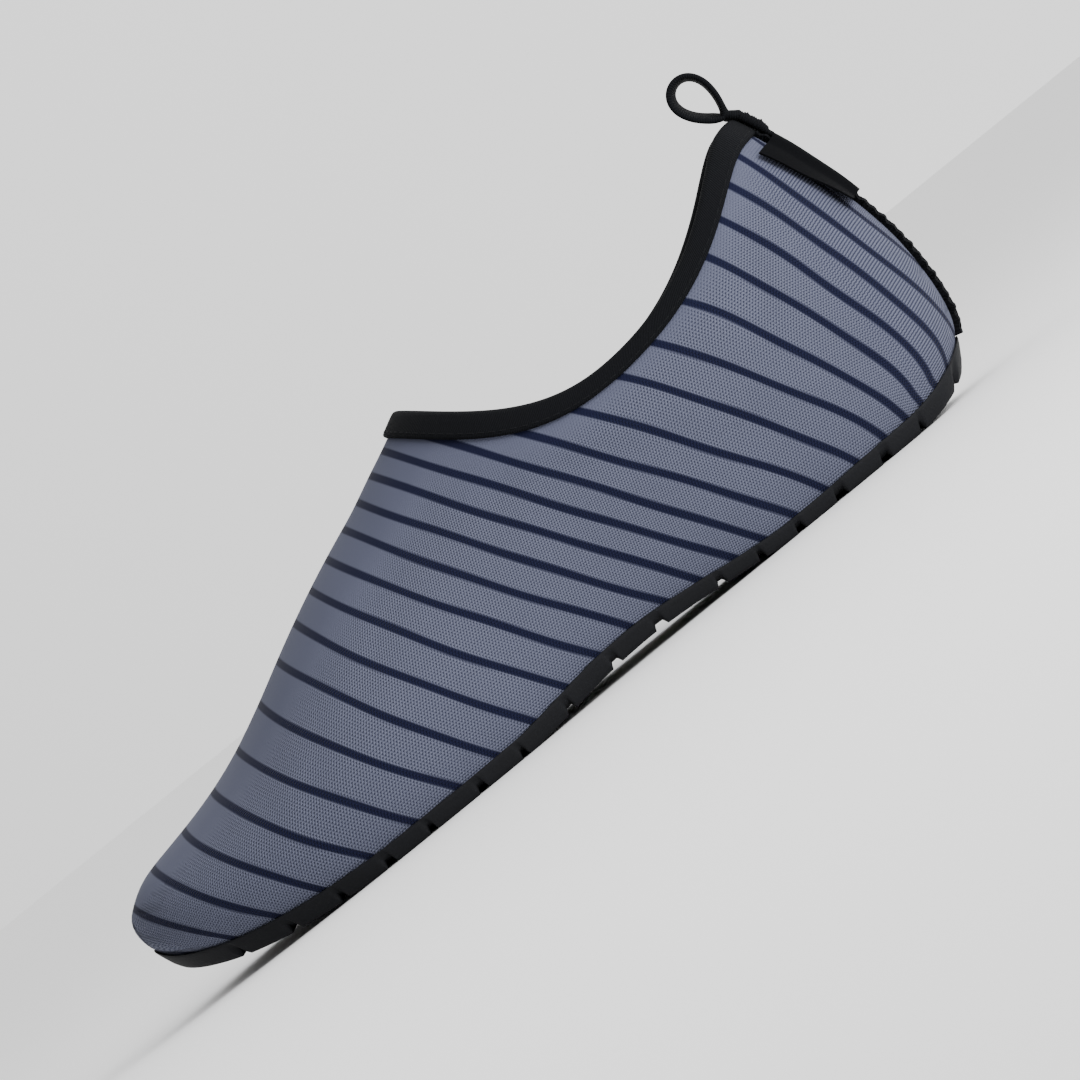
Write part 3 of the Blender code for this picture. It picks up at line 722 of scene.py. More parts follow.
def lip_up(angle):
    """How far up the fabric the top of the sole's side lies."""
    x = shoe_x(upper_point(angle, 0.0))
    return up_at_height(angle, lip_top(x) - bottom(x))


def beside_fabric(angle, up, out, height):
    """Points level with a place on the fabric but this far outside it, at height(x) above the floor."""
    point = upper_point(angle, up) + plan_normal(angle, up) * out
    point[..., 2] = height(shoe_x(point))
    return point


def up_below_collar(angle, distance):
    """How far up the fabric a point this far below the collar edge lies."""
    edge = upper_point(angle, 1.0)

    def over(up):
        return distance - np.linalg.norm(upper_point(angle, up) - edge, axis=-1)

    return solve(over, np.full_like(angle, 0.5), np.full_like(angle, 1.0))


def up_at_heel(z):
    """How far up the back seam a height lies."""
    return float(solve(lambda up: back_ridge(up)[1] - z, np.array(0.0), np.array(1.0)))


def angle_at_arc(arc, up):
    """The angle at which the fabric lies this far round from the heel's back seam."""
    start = upper_point(0.0, up)

    def over(angle):
        return np.linalg.norm(upper_point(angle, up) - start, axis=-1) - np.abs(arc)

    zero = np.zeros(np.broadcast(arc, up).shape)
    return np.copysign(solve(over, zero, zero + 1.0), arc)


# Making meshes


def loft(name, rows, fields=None, weld=True):
    """A grid primitive with its points moved to rows[j][i], and a value per point for each field."""
    rows = np.asarray(rows, float)
    down, across = rows.shape[0] - 1, rows.shape[1] - 1
    bpy.ops.mesh.primitive_grid_add(x_subdivisions=across, y_subdivisions=down, size=1.0)
    made = bpy.context.active_object
    made.name = name
    mesh = made.data
    mesh.name = name
    place = np.empty(len(mesh.vertices) * 3)
    mesh.vertices.foreach_get("co", place)
    place = place.reshape(-1, 3)
    i = np.rint((place[:, 0] + 0.5) * across).astype(int)
    j = np.rint((place[:, 1] + 0.5) * down).astype(int)
    mesh.vertices.foreach_set("co", rows[j, i].ravel())
    for field, values in (fields or {}).items():
        layer = mesh.attributes.new(field, "FLOAT", "POINT")
        layer.data.foreach_set("value", np.asarray(values, float)[j, i])
    mesh.update()
    if weld:
        bpy.ops.object.mode_set(mode="EDIT")
        bpy.ops.mesh.select_all(action="SELECT")
        bpy.ops.mesh.remove_doubles(threshold=WELD)
        bpy.ops.mesh.normals_make_consistent(inside=False)
        bpy.ops.object.mode_set(mode="OBJECT")
    bpy.ops.object.shade_smooth()
    return made


def thicken(made, thickness):
    """Gives a sheet its wall, inwards from its outer face."""
    wall = made.modifiers.new("wall", "SOLIDIFY")
    wall.thickness = thickness
    wall.offset = -1.0
    wall.use_even_offset = True
    bpy.context.view_layer.objects.active = made
    bpy.ops.object.modifier_apply(modifier="wall")


def soften(made, degrees):
    """Shades a mesh smooth, apart from edges sharper than this."""
    bpy.ops.object.select_all(action="DESELECT")
    made.select_set(True)
    bpy.context.view_layer.objects.active = made
    bpy.ops.object.shade_smooth_by_angle(angle=math.radians(degrees))


def closed(rows):
    """The same rows with their first column again at the end."""
    return np.concatenate([rows, rows[:, :1]], axis=1)


def piece(made, material, slot, *nodes):
    """Hands a finished mesh to the frame."""
    made.data.materials.clear()
    made.data.materials.append(material)
    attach(made, "root")
    if nodes:
        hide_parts(*nodes)


# Materials


def linear(colour):
    """A colour of a paint chart, such as 63687b, as the shader takes it."""
    values = [int(colour[i : i + 2], 16) / 255 for i in (0, 2, 4)]
    return (*(v / 12.92 if v <= 0.04045 else ((v + 0.055) / 1.055) ** 2.4 for v in values), 1.0)


class Nodes:
    """The node tree of a material or of the world, and one way to add a node to it."""

    def __init__(self, owner):
        owner.use_nodes = True
        self.tree = owner.node_tree

    def put(self, node, inputs):
        """Sets a node's inputs, or links them where the value comes from another node."""
        for name, value in inputs.items():
            if isinstance(value, bpy.types.NodeSocket):
                self.tree.links.new(value, node.inputs[name])
            else:
                node.inputs[name].default_value = value

    def add(self, kind, inputs=None, output=0, **settings):
        """Adds a node with its settings and links, and gives one of its outputs."""
        node = self.tree.nodes.new("ShaderNode" + kind)
        for name, value in settings.items():
            setattr(node, name, value)
        self.put(node, inputs or {})
        return node.outputs[output]


def surfaced(name, **inputs):
    """A new material, and its nodes, with these values on its surface shader."""
    material = bpy.data.materials.new(name)
    nodes = Nodes(material)
    nodes.put(nodes.tree.nodes["Principled BSDF"], {key.replace("_", " "): v for key, v in inputs.items()})
    return material, nodes


def cover(nodes, colour, normal):
    """Links a pattern's colour and relief to the surface shader."""
    nodes.put(nodes.tree.nodes["Principled BSDF"], {"Base Color": colour, "Normal": normal})


def striped_knit():
    """Matt stretch knit: grey-blue, with a small dark hole beside each stitch and navy stripes."""
    material, n = surfaced(
        "stretch knit, polyester and elastane",
        Roughness=0.95,
        Sheen_Weight=0.03,
        Sheen_Roughness=0.5,
        Specular_IOR_Level=0.1,
    )
    course, wale, number, pitch, ribs, smooth_here = (
        n.add("Attribute", output="Fac", attribute_name=name)
        for name in ("course", "wale", "stripe", "pitch", "ribs", "smooth")
    )
    row = n.add("Math", {0: course, 1: math.pi}, operation="MULTIPLY")
    row = n.add("Math", {0: row}, operation="COSINE")

    # Every second row is shifted by half a stitch, but not where the knit pulls into ribs
    unribbed = n.add("Math", {0: 1.0, 1: ribs}, operation="SUBTRACT")
    stagger = n.add("Math", {0: row, 1: -0.5, 2: 0.5}, operation="MULTIPLY_ADD")
    stagger = n.add("Math", {0: stagger, 1: unribbed}, operation="MULTIPLY")
    turns = n.add("Math", {0: stagger, 1: 0.5, 2: wale}, operation="MULTIPLY_ADD")
    turns = n.add("Math", {0: turns, 1: math.tau}, operation="MULTIPLY")
    stitch = n.add("Math", {0: turns}, operation="COSINE")

    # The stitches fade out between two rows, and where the fabric is stretched smooth
    gap = n.add("Math", {0: row}, operation="ABSOLUTE")
    gap = n.add("Math", {0: 1.0, 1: gap}, operation="SUBTRACT")
    gap = n.add("Math", {0: gap, 1: unribbed}, operation="MULTIPLY")
    on_row = n.add("Math", {0: 1.0, 1: gap}, operation="SUBTRACT")
    weave = n.add("Math", {0: stitch, 1: on_row}, operation="MULTIPLY")
    textured = n.add("Math", {0: 1.0, 1: smooth_here}, operation="SUBTRACT")
    weave = n.add("Math", {0: weave, 1: textured}, operation="MULTIPLY")

    # How far the nearest stripe's middle is, with an edge that the stitches make ragged
    nearest = n.add("Math", {0: number}, operation="ROUND")
    off = n.add("Math", {0: number, 1: nearest}, operation="SUBTRACT")
    off = n.add("Math", {0: off}, operation="ABSOLUTE")
    off = n.add("Math", {0: off, 1: pitch}, operation="MULTIPLY")
    off = n.add("Math", {0: weave, 1: STRIPE_RAGGED, 2: off}, operation="MULTIPLY_ADD")
    low, high = STRIPE_WIDTH / 2 - STRIPE_BLUR, STRIPE_WIDTH / 2 + STRIPE_BLUR
    beside = {"Value": off, "From Min": low, "From Max": high}
    beside = n.add("MapRange", beside, interpolation_type="SMOOTHSTEP")
    stripe = n.add("Math", {0: 1.0, 1: beside}, operation="SUBTRACT")

    # Where the fabric is stretched smooth, its holes are too fine to part and darken it evenly
    hole = {"Value": weave, "From Min": 0.05, "From Max": 0.75}
    hole = n.add("MapRange", hole, interpolation_type="SMOOTHSTEP")
    hole = n.add("Math", {0: smooth_here, 1: 0.45, 2: hole}, operation="MULTIPLY_ADD", use_clamp=True)
    place = n.add("TexCoord", output="Object")
    patchy = n.add("TexNoise", {"Vector": place, "Scale": 1000 / KNIT_PATCH, "Detail": 3.0})
    ground = n.add("Mix", {0: patchy, 6: linear("575a6a"), 7: linear("5d6071")}, 2, data_type="RGBA")
    ground = n.add("Mix", {0: hole, 6: ground, 7: linear("2c2f42")}, 2, data_type="RGBA")
    band = n.add("Mix", {0: hole, 6: linear("13162d"), 7: linear("0b0d20")}, 2, data_type="RGBA")
    colour = n.add("Mix", {0: stripe, 6: ground, 7: band}, 2, data_type="RGBA")
    raised = n.add("Math", {0: weave, 1: -1.0}, operation="MULTIPLY")
    cover(n, colour, n.add("Bump", {"Height": raised, "Distance": 0.00022, "Strength": 0.8}))
    return material


def black_tape():
    """Woven polyester binding tape: soft, almost black, with fine ribs and a little fuzz."""
    material, n = surfaced("woven polyester tape", Roughness=0.92, Specular_IOR_Level=0.12)
    ribs = n.add("Attribute", output="Fac", attribute_name="ribs")
    ribs = n.add("Math", {0: ribs, 1: math.tau}, operation="MULTIPLY")
    ribs = n.add("Math", {0: ribs}, operation="COSINE")
    raised = {"Value": ribs, "From Min": -1.0, "From Max": 1.0}
    raised = n.add("MapRange", raised, interpolation_type="SMOOTHSTEP")
    colour = n.add("Mix", {0: raised, 6: linear("060709"), 7: linear("0b0c10")}, 2, data_type="RGBA")
    place = n.add("TexCoord", output="Object")
    fuzz = n.add("TexNoise", {"Vector": place, "Scale": 1000 / TAPE_FUZZ, "Detail": 2.0})
    height = n.add("Math", {0: fuzz, 1: 0.6, 2: ribs}, operation="MULTIPLY_ADD")
    cover(n, colour, n.add("Bump", {"Height": height, "Distance": 0.00008, "Strength": 0.7}))
    return material


def black_thread():
    """Spun polyester sewing thread: black and matt, and too fine for its twist to show."""
    colour = linear("0a0b0e")
    return surfaced("polyester sewing thread", Base_Color=colour, Roughness=0.8, Specular_IOR_Level=0.15)[0]


def studs(n):
    """Small round studs on what faces down: where the waves of two crossing directions meet."""
    normal = n.add("TexCoord", output="Normal")
    facing = n.add("SeparateXYZ", {0: normal}, "Z")
    place = n.add("TexCoord", output="Object")
    place = n.add("VectorRotate", {"Vector": place, "Angle": math.radians(45)})
    waves = []
    for side in ("X", "Y"):
        turns = n.add("SeparateXYZ", {0: place}, side)
        turns = n.add("Math", {0: turns, 1: math.tau * 1000 / STUD_WAVE}, operation="MULTIPLY")
        waves.append(n.add("Math", {0: turns}, operation="COSINE"))
    meeting = n.add("Math", {0: waves[0], 1: waves[1]}, operation="MULTIPLY")
    stud = {"Value": meeting, "From Min": 0.1, "From Max": 0.6}
    stud = n.add("MapRange", stud, interpolation_type="SMOOTHSTEP")
    below = {"Value": facing, "From Min": -0.7, "From Max": -0.95}
    below = n.add("MapRange", below, interpolation_type="SMOOTHSTEP")
    return n.add("Math", {0: stud, 1: below}, operation="MULTIPLY")


def moulded_rubber():
    """Moulded black rubber: dull, with a fine grain from the mould and slightly uneven colour."""
    material, n = surfaced("moulded rubber", Roughness=0.75, Specular_IOR_Level=0.18)
    place = n.add("TexCoord", output="Object")
    grain = n.add("TexNoise", {"Vector": place, "Scale": 1000 / RUBBER_GRAIN, "Detail": 3.0})
    broad = n.add("TexNoise", {"Vector": place, "Scale": 1000 / RUBBER_PATCH, "Detail": 2.0})
    colour = n.add("Mix", {0: broad, 6: linear("090a0d"), 7: linear("0e0f13")}, 2, data_type="RGBA")
    height = n.add("Math", {0: studs(n), 1: 3.0, 2: grain}, operation="MULTIPLY_ADD")
    cover(n, colour, n.add("Bump", {"Height": height, "Distance": 0.00012, "Strength": 0.7}))
    return material


def mottled(name, grain, detail, dark, light, bump, strength, **inputs):
    """A material whose colour and relief both follow one fine grain."""
    material, n = surfaced(name, **inputs)
    place = n.add("TexCoord", output="Object")
    fine = n.add("TexNoise", {"Vector": place, "Scale": 1000 / grain, "Detail": detail})
    colour = n.add("Mix", {0: fine, 6: linear(dark), 7: linear(light)}, 2, data_type="RGBA")
    cover(n, colour, n.add("Bump", {"Height": fine, "Distance": bump, "Strength": strength}))
    return material


def insole_textile():
    """Thin foam with a textile face: grey, matt and finely mottled."""
    look = {"Roughness": 0.92, "Specular_IOR_Level": 0.2}
    return mottled("textile-faced foam", FOAM_NAP, 2.0, "3c3f47", "4e5159", 0.00015, 0.8, **look)


def woven_label():
    """Woven label: plain black, almost without shine, with a very fine weave."""
    look = {"Roughness": 0.95, "Specular_IOR_Level": 0.05}
    return mottled("woven satin label", LABEL_WEAVE, 1.0, "050507", "08090b", 0.00006, 0.6, **look)


# The knit's pattern


def stripe_place(number, z):
    """How far behind the toe a stripe crosses a height, in metres."""
    foot = stripe_foot(number) * STRIPE_SCALE
    head = stripe_head(number) * STRIPE_SCALE
    start = lip_top(LENGTH - foot)
    share = np.clip((z - start) / (stripe_height(number) * STRIPE_SCALE - start), *STRIPE_ENDS)
    bend = 1 - np.abs(2 * share - 1) ** (2 + 2 * between(number, *BOWS_FLATTEN))
    return foot + (head - foot) * share - stripe_bow(number) * STRIPE_SCALE * bend


def stripe_pitch(points, number):
    """The distance on the fabric between one stripe and the next."""
    along, rising = np.gradient(points, axis=1), np.gradient(points, axis=0)
    by_along, by_rising = np.gradient(number, axis=1), np.gradient(number, axis=0)
    e = (along * along).sum(axis=-1)
    f = (along * rising).sum(axis=-1)
    g = (rising * rising).sum(axis=-1)
    area = np.maximum(e * g - f * f, 1e-16)
    steep = (g * by_along**2 - 2 * f * by_along * by_rising + e * by_rising**2) / area
    return np.clip(1 / np.sqrt(np.maximum(steep, 1.0)), *PITCH_RANGE)


def thread_run(points, number):
    """How far along the stripes each point lies, for one side of the shoe from toe to heel."""
    marks = np.arange(FIRST_STRIPE, LAST_STRIPE + MARK_STEP / 2, MARK_STEP)
    number = np.maximum.accumulate(number, axis=1)
    track = np.array([[np.interp(marks, n, p[:, k]) for k in range(3)] for n, p in zip(number, points)])
    track = track.transpose(0, 2, 1)
    over_ridge = np.stack([np.interp(marks, number[:, 0], points[:, 0, k]) for k in range(3)], axis=-1)
    track = np.where((marks < number[:, :1])[..., None], over_ridge, track)
    step = np.diff(track, axis=0)
    length = np.linalg.norm(step, axis=-1)
    run = np.concatenate([np.zeros((1, len(marks))), np.cumsum(length, axis=0)])
    heading = step / np.maximum(length, 1e-9)[..., None]
    aside = np.diff(track, axis=1)[:-1]
    lean = (aside * heading[:, :-1]).sum(axis=-1) - np.diff(run, axis=1)[:-1]
    shown = (marks[:-1] > number[:-1, :1]) & (marks[1:] < number[:-1, -1:])
    lean = np.where(shown, lean, 0.0).sum(axis=0) / np.maximum(shown.sum(axis=0), 1)
    shift = np.concatenate([[0.0], np.cumsum(lean)])
    return np.array([np.interp(n, marks, r + shift) for n, r in zip(number, run)])


def stretched_smooth(points, ups):
    """How far the knit's relief fades: along the instep's top line and just below the collar."""
    level, top = belly(shoe_x(points)), top_line(shoe_x(points))
    high = (points[..., 2] - level) / np.maximum(top - level, 1e-6)
    return np.maximum(between(high, *SMOOTH_INSTEP), COLLAR_SMOOTHNESS * between(ups, *SMOOTH_COLLAR))


def knit_fields(points, ups):
    """Per point: stripe number, pitch, course and wale of the knit, how ribbed and how smooth."""
    behind = LENGTH - shoe_x(points)
    height = points[..., 2]
    rise = (height - HEEL_FEATHER_Z) / (HEEL_HEIGHT - HEEL_FEATHER_Z)
    tuck = HEEL_TUCK * TUCK_FOLLOWED * tuck_share(np.clip(rise, 0, 1))
    unrolled = behind + tuck * between(behind, *TUCKED)

    def over(number):
        return stripe_place(number, height) - unrolled

    low = np.full(behind.shape, FIRST_STRIPE)
    number = solve(over, low, low + (LAST_STRIPE - FIRST_STRIPE))

    # Both sides count their stitches along the stripes, up from the sole. The inner side's are
    # moved to meet the outer side's at the top line, by an amount that depends on the stripe alone.
    middle = behind.shape[1] // 2
    outer = thread_run(points[:, middle::-1], number[:, middle::-1])[:, ::-1]
    inner = thread_run(points[:, middle:], number[:, middle:])
    ridge = number[:, middle]
    meeting = np.polynomial.Polynomial.fit(ridge, outer[:, -1] - inner[:, 0], MEETING_DEGREE)
    inner = inner + meeting(np.clip(number[:, middle:], ridge.min(), ridge.max()))
    run = np.concatenate([outer, inner[:, 1:]], axis=1)
    wander = sum(np.sin(height / wave + number * shift) for wave, shift in STRIPE_WAVES)
    return {
        "stripe": number + STRIPE_WANDER * wander,
        "pitch": stripe_pitch(points, number),
        "course": number * ROWS_PER_STRIPE,
        "wale": run / STITCH_PITCH,
        "ribs": between(behind, *RIBBED),
        "smooth": stretched_smooth(points, ups),
    }


# Pieces


def relief(points, inner):
    """How far the creases lift the fabric."""
    lift = np.zeros(inner.shape)
    for side, x, z, slope, length, width, height in CREASES:
        ahead, over = shoe_x(points) - x / 1000, points[..., 2] - z / 1000
        turn = math.radians(slope)
        along = (ahead * math.cos(turn) + over * math.sin(turn)) * 1000 / length
        aside = (over * math.cos(turn) - ahead * math.sin(turn)) * 1000 / width
        soft = np.exp(-(along**2) - aside**2) * (1 - CREASE_FLANKS * aside**2)
        lift += np.where(inner == (side == "inner"), height / 1000 * soft, 0.0)
    return lift


def make_upper(material):
    """The sock, with its soft creases. They fade out at the sole and under the collar tape."""
    angles = np.linspace(0.0, 2 * math.pi, 2 * STATIONS + 1)[None, :]
    ups = np.linspace(0.0, 1.0, RISES + 1)[:, None] ** RISES_CROWD
    points = upper_point(angles, ups)
    fade = between(ups, *CREASES_START) * between(ups, *CREASES_STOP) * np.abs(np.sin(angles)) ** 0.5
    inner = np.broadcast_to(angles > math.pi, points.shape[:2])
    points = points + upper_normal(angles, ups) * (relief(points, inner) * fade)[..., None]
    made = loft("knit_sock", points, knit_fields(points, ups))
    thicken(made, FABRIC)
    soften(made, 60)
    piece(made, material, "knit", "upper")


def sole_stations():
    """Angles along the sole: even ones, and several over each edge of a groove."""
    span = TOE_FEATHER_X - HEEL_FEATHER_X
    cuts = []
    for station, width in GROOVES:
        for beyond in GROOVE_EDGE_CUTS:
            off = GROOVE_WIDTH * width / 2 + beyond
            cuts += [station * LENGTH - off, station * LENGTH + off]
    cuts = np.sort(station_angle((np.array(cuts) - HEEL_FEATHER_X) / span))
    even = np.linspace(0.0, math.pi, STATIONS // 2 + 1)
    apart = np.abs(even[:, None] - cuts[None, :]).min(axis=1)
    clear = apart > CLEAR_OF_CUTS * math.pi / (STATIONS // 2)
    clear[0] = clear[-1] = True
    return np.sort(np.concatenate([cuts, even[clear]]))


def across_groove(x):
    """How deep a place lies in a groove across the sole, from nought to one."""
    deep = np.zeros_like(x)
    for station, width in GROOVES:
        inside = GROOVE_WIDTH * width / 2 - np.abs(x - station * LENGTH)
        deep = np.maximum(deep, between(inside, *GROOVE_WALL))
    return deep


def along_groove(column):
    """How deep a column lies in a groove along the sole."""
    deep = 0.0
    for middle, wide in LONG_GROOVES:
        inside = LONG_GROOVE_HALF * wide - abs(column - middle)
        deep = max(deep, float(between(inside, 0.0, LONG_GROOVE_WALL * wide)))
    return deep


def plate(name, angles, rings, columns, underside, top):
    """A closed plate: rings run from the underside's edge up and in to the top's edge, and both
    faces are filled from there to the middle line by columns, which run from nought to one."""
    turn = np.concatenate([angles, 2 * math.pi - angles[-2::-1]])
    edges = [ring(turn) for ring in rings]

    def fill(edge, height, lift_edge):
        rows = []
        for column in columns:
            row = edge * (0.5 + column / 2) + edge[::-1] * (0.5 - column / 2)
            row[:, 2] = height(row, turn, column * lift_edge)
            rows.append(row)
        return rows

    sides = np.where(turn <= math.pi, -1.0, 1.0)
    rows = fill(edges[0], underside, sides) + edges + fill(edges[-1], top, sides)[::-1]
    return loft(name, np.array(rows))


def level_face(height):
    """A plate's face that follows the sole's underside, this far above it."""
    return lambda row, turn, column: bottom(shoe_x(row)) + height


def make_outsole(material):
    """A rubber tray whose rounded lip holds the fabric, with a grooved underside."""

    def station_x(angle):
        return HEEL_FEATHER_X + (TOE_FEATHER_X - HEEL_FEATHER_X) * (1 - np.cos(angle)) / 2

    def side(share, tuck, raised):
        """A ring up the sole's side: its share of the way up, how far it lies inside the side, and
        how far its lower part is raised."""

        def ring(angle):
            notch = NOTCH_DEPTH * across_groove(station_x(angle))
            up = lip_up(angle) * share
            out = GAP + SOLE_LIP - (SOLE_DRAFT * (1 - share) + tuck)

            def height(x):
                return (bottom(x) + notch) * (1 - share) + lip_top(x) * share + raised * (1 - share)

            return beside_fabric(angle, up, out, height)

        return ring

    def inside(share):
        """A ring up the lip's inner face, within the gap that it leaves round the fabric."""

        def ring(angle):
            up = lip_up(angle) * share
            return upper_point(angle, up) + plan_normal(angle, up) * GAP * 0.5

        return ring

    def tray_edge(angle):
        return beside_fabric(angle, 0.0, GAP, lambda x: bottom(x) + SOLE_FLOOR)

    def underside(row, turn, column):
        along = np.array([along_groove(c) for c in column])
        return bottom(shoe_x(row)) + GROOVE_DEPTH * np.maximum(across_groove(station_x(turn)), along)

    rings = [side(*ring) for ring in SOLE_RINGS]
    rings += [inside(share) for share in LIP_RINGS] + [tray_edge]
    made = plate("rubber_sole", sole_stations(), rings, SOLE_COLUMNS, underside, level_face(SOLE_FLOOR))
    soften(made, 38)
    piece(made, material, "outsole", "outsole")


def make_insole(material):
    """A thin plate just above the tray's floor and inside the fabric, with rounded edges."""
    inside = FABRIC + GAP
    low = SOLE_FLOOR + GAP
    high = low + INSOLE

    def edge(tuck, height):
        def ring(angle):
            up = up_at_height(angle, height, inside)
            point = upper_point(angle, up) - upper_normal(angle, up) * (inside + tuck)
            point[..., 2] = bottom(shoe_x(point)) + height
            return point

        return ring

    angles = np.linspace(0.0, math.pi, STATIONS // 2 + 1)
    rings = [edge(tuck, low + above) for tuck, above in INSOLE_LOWER_EDGE]
    rings += [edge(tuck, high - below) for tuck, below in INSOLE_UPPER_EDGE]
    made = plate("foam_insole", angles, rings, INSOLE_COLUMNS, level_face(low), level_face(high))
    soften(made, 50)
    piece(made, material, "insole", "insole")


def make_binding(material):
    """A folded tape over the collar edge, with a soft rounded fold and slightly pinched edges."""
    angles = np.linspace(0.0, 2 * math.pi, 2 * STATIONS, endpoint=False)
    middle = FABRIC / 2
    profile = []
    for stand, turns, fuller in ((BINDING_GAP + BINDING, 9, 1), (BINDING_GAP, 5, 0)):
        arc = np.linspace(0.0, math.pi, turns)
        tuck = BINDING_PINCH * fuller
        crown = stand + tuck
        fold = [(math.cos(a) * (middle + stand) - middle, -math.sin(a) * crown) for a in arc]
        down = [(stand - tuck, BINDING_LEG), (stand, BINDING_LEG - BINDING_PINCH)]
        down += [(stand + BINDING_BULGE * fuller, BINDING_LEG * share) for share in (0.75, 0.5, 0.25)]
        inner = -FABRIC - stand
        back = [(inner, BINDING_INNER_LEG * share) for share in (0.3, 0.6, 0.9)]
        back += [(inner + tuck, BINDING_INNER_LEG)]
        side = down + fold + back
        profile += side if not profile else list(reversed(side))
    profile.append(profile[0])
    steps = np.linalg.norm(np.diff(upper_point(angles, 1.0), axis=0), axis=-1)
    run = np.concatenate([[0.0], np.cumsum(steps)])
    rows = []
    for out, below in profile:
        up = up_below_collar(angles, below) if below > 0 else np.ones_like(angles)
        point = upper_point(angles, up) + upper_normal(angles, up) * out
        if below < 0:
            point = point + unit(upper_point(angles, 1.0) - upper_point(angles, 0.99)) * -below
        rows.append(point)
    ribs = np.tile(np.append(run, run[-1] + CLOSING_STEP) / RIB_PITCH, (len(rows), 1))
    made = loft("collar_tape", closed(np.array(rows)), {"ribs": ribs})
    soften(made, 70)
    piece(made, material, "tape", "collar_binding")


def on_fabric(arc, up, out):
    """Points this far round from the back seam, this far up, and this far off the fabric."""
    angle = angle_at_arc(arc, up)
    return upper_point(angle, up) + upper_normal(angle, up) * np.asarray(out)[..., None]


def up_above_sole(clearance):
    """How far up the back seam a height this far above the sole's edge lies."""
    lip = beside_fabric(np.array(0.0), lip_up(np.array(0.0)), GAP + SOLE_LIP, lip_top)
    return up_at_heel(float(lip[2]) + clearance)


def height_below_collar(distance):
    """The height on the back seam this far below the collar edge."""
    return float(back_ridge(up_below_collar(np.array(0.0), distance))[1])


def make_heel_tape(material):
    """A tape over the back seam. Its edges wander a little where the seam puckers it."""
    low = up_above_sole(TAPE_ABOVE_SOLE)
    high = up_at_heel(height_below_collar(BINDING_LEG) - BUTTED)
    rows, ribs = [], []
    t = np.linspace(-1.0, 1.0, 13)
    for up in np.linspace(low, high, 120):
        height = float(back_ridge(up)[1])
        pucker = sum(s * math.sin(height * math.tau / wave + start) for s, wave, start in PUCKERS)
        half = TAPE_WIDTH / 2 * (1 + PUCKER_WIDENS * pucker)
        rounded = HEEL_TAPE * (1 - TAPE_THINNER_EDGE * np.abs(t) ** 3)
        out = TAPE_LIFT + rounded + PUCKER_DEPTH * pucker * (0.4 + 0.6 * np.abs(t))
        rows.append(on_fabric(t * -half, np.full_like(t, up), out))
        ribs.append(np.full_like(t, height / RIB_PITCH))
    made = loft("seam_tape", rows, {"ribs": np.array(ribs)}, weld=False)
    thicken(made, HEEL_TAPE)
    soften(made, 60)
    piece(made, material, "tape", "heel_tape")


def make_label(material):
    """A plain label. It lies over the tape, and its free edge lifts, most at the lower corner."""
    top = height_below_collar(BINDING_LEG + LOOP_TAIL) - BUTTED
    rows = []
    t = np.linspace(0.0, 1.0, 25)
    arc = -LABEL_ROOT + (LABEL_FLAP + LABEL_ROOT) * t
    seat = HEEL_TAPE * (1 - between(np.abs(arc), *LABEL_STEPS_DOWN)) + LABEL_CLEARANCE
    for j in np.linspace(0.0, 1.0, 31):
        up = up_at_heel(top - LABEL_HEIGHT * (1 - j))
        corner = LABEL_CORNER_LIFT * t**4 * (1 - j) ** 2
        lift = LABEL_EDGE_LIFT * t**3 + corner + LABEL_RIPPLE * np.sin(j * 9.0) * t
        rows.append(on_fabric(arc, np.full_like(t, up), seat + lift + LABEL))
    made = loft("woven_label", rows, weld=False)
    thicken(made, LABEL)
    soften(made, 50)
    piece(made, material, "label", "heel_label")


def path_run(path):
    """How far along a path each of its points lies."""
    return np.cumsum(np.linalg.norm(np.diff(path, axis=0, prepend=path[:1]), axis=-1))


def ribbon(name, path, across, width, thickness):
    """A flat tape along a path. At each point, across is its width's direction, and thickness its own."""
    ahead = unit(np.gradient(path, axis=0))
    across = unit(across)
    out = unit(np.cross(ahead, across))
    turns = np.concatenate([np.linspace(-0.5, 0.5, 5), np.linspace(0.5, 1.5, 5)]) * math.pi
    side = np.sign(np.cos(np.where(np.arange(10) < 5, 0.0, math.pi)))
    rows = []
    for point, a, o, thick in zip(path, across, out, thickness):
        wide = side * (width / 2 - thick * TAPE_EDGE_ROUND) + np.cos(turns) * thick * TAPE_EDGE_ROUND
        rows.append(point + wide[:, None] * a + (np.sin(turns) * thick / 2)[:, None] * o)
    ends = [np.repeat(rows[k].mean(axis=0)[None, :], len(turns), axis=0) for k in (0, -1)]
    rows = closed(np.array([ends[0]] + rows + [ends[1]]))
    run = path_run(path)
    run = np.concatenate([run[:1], run, run[-1:]]) / RIB_PITCH
    return loft(name, rows, {"ribs": np.repeat(run[:, None], rows.shape[1], axis=1)})


def thread(name, path, normals, material, stitch=0.0028):
    """Running stitches: one tube that dips under the surface between one stitch and the next."""
    ahead = unit(np.gradient(path, axis=0))
    out = unit(normals)
    across = np.cross(ahead, out)
    dip = STITCH_DIP * np.abs(np.cos(math.pi * path_run(path) / stitch)) ** 8
    turns = np.linspace(0.0, 2 * math.pi, 9)
    middle = path + out * (THREAD * (0.5 - dip))[:, None]
    rows = middle[:, None, :] + THREAD * (
        np.cos(turns)[None, :, None] * across[:, None, :] + np.sin(turns)[None, :, None] * out[:, None, :]
    )
    ends = [np.repeat(middle[k][None, None, :], len(turns), axis=1) for k in (0, -1)]
    made = loft(name, np.concatenate([ends[0], rows, ends[1]]))
    piece(made, material, "tape")


def teardrop(share, height, width):
    """A drop-shaped loop from its point at (0, 0) up and back, as (forward, up)."""
    angle = 2 * math.pi * share
    forward = np.sin(angle) * np.abs(np.sin(angle / 2)) ** DROP_TAPER * width / 2 * DROP_FULLNESS
    return forward, (1 - np.cos(angle)) * height / 2


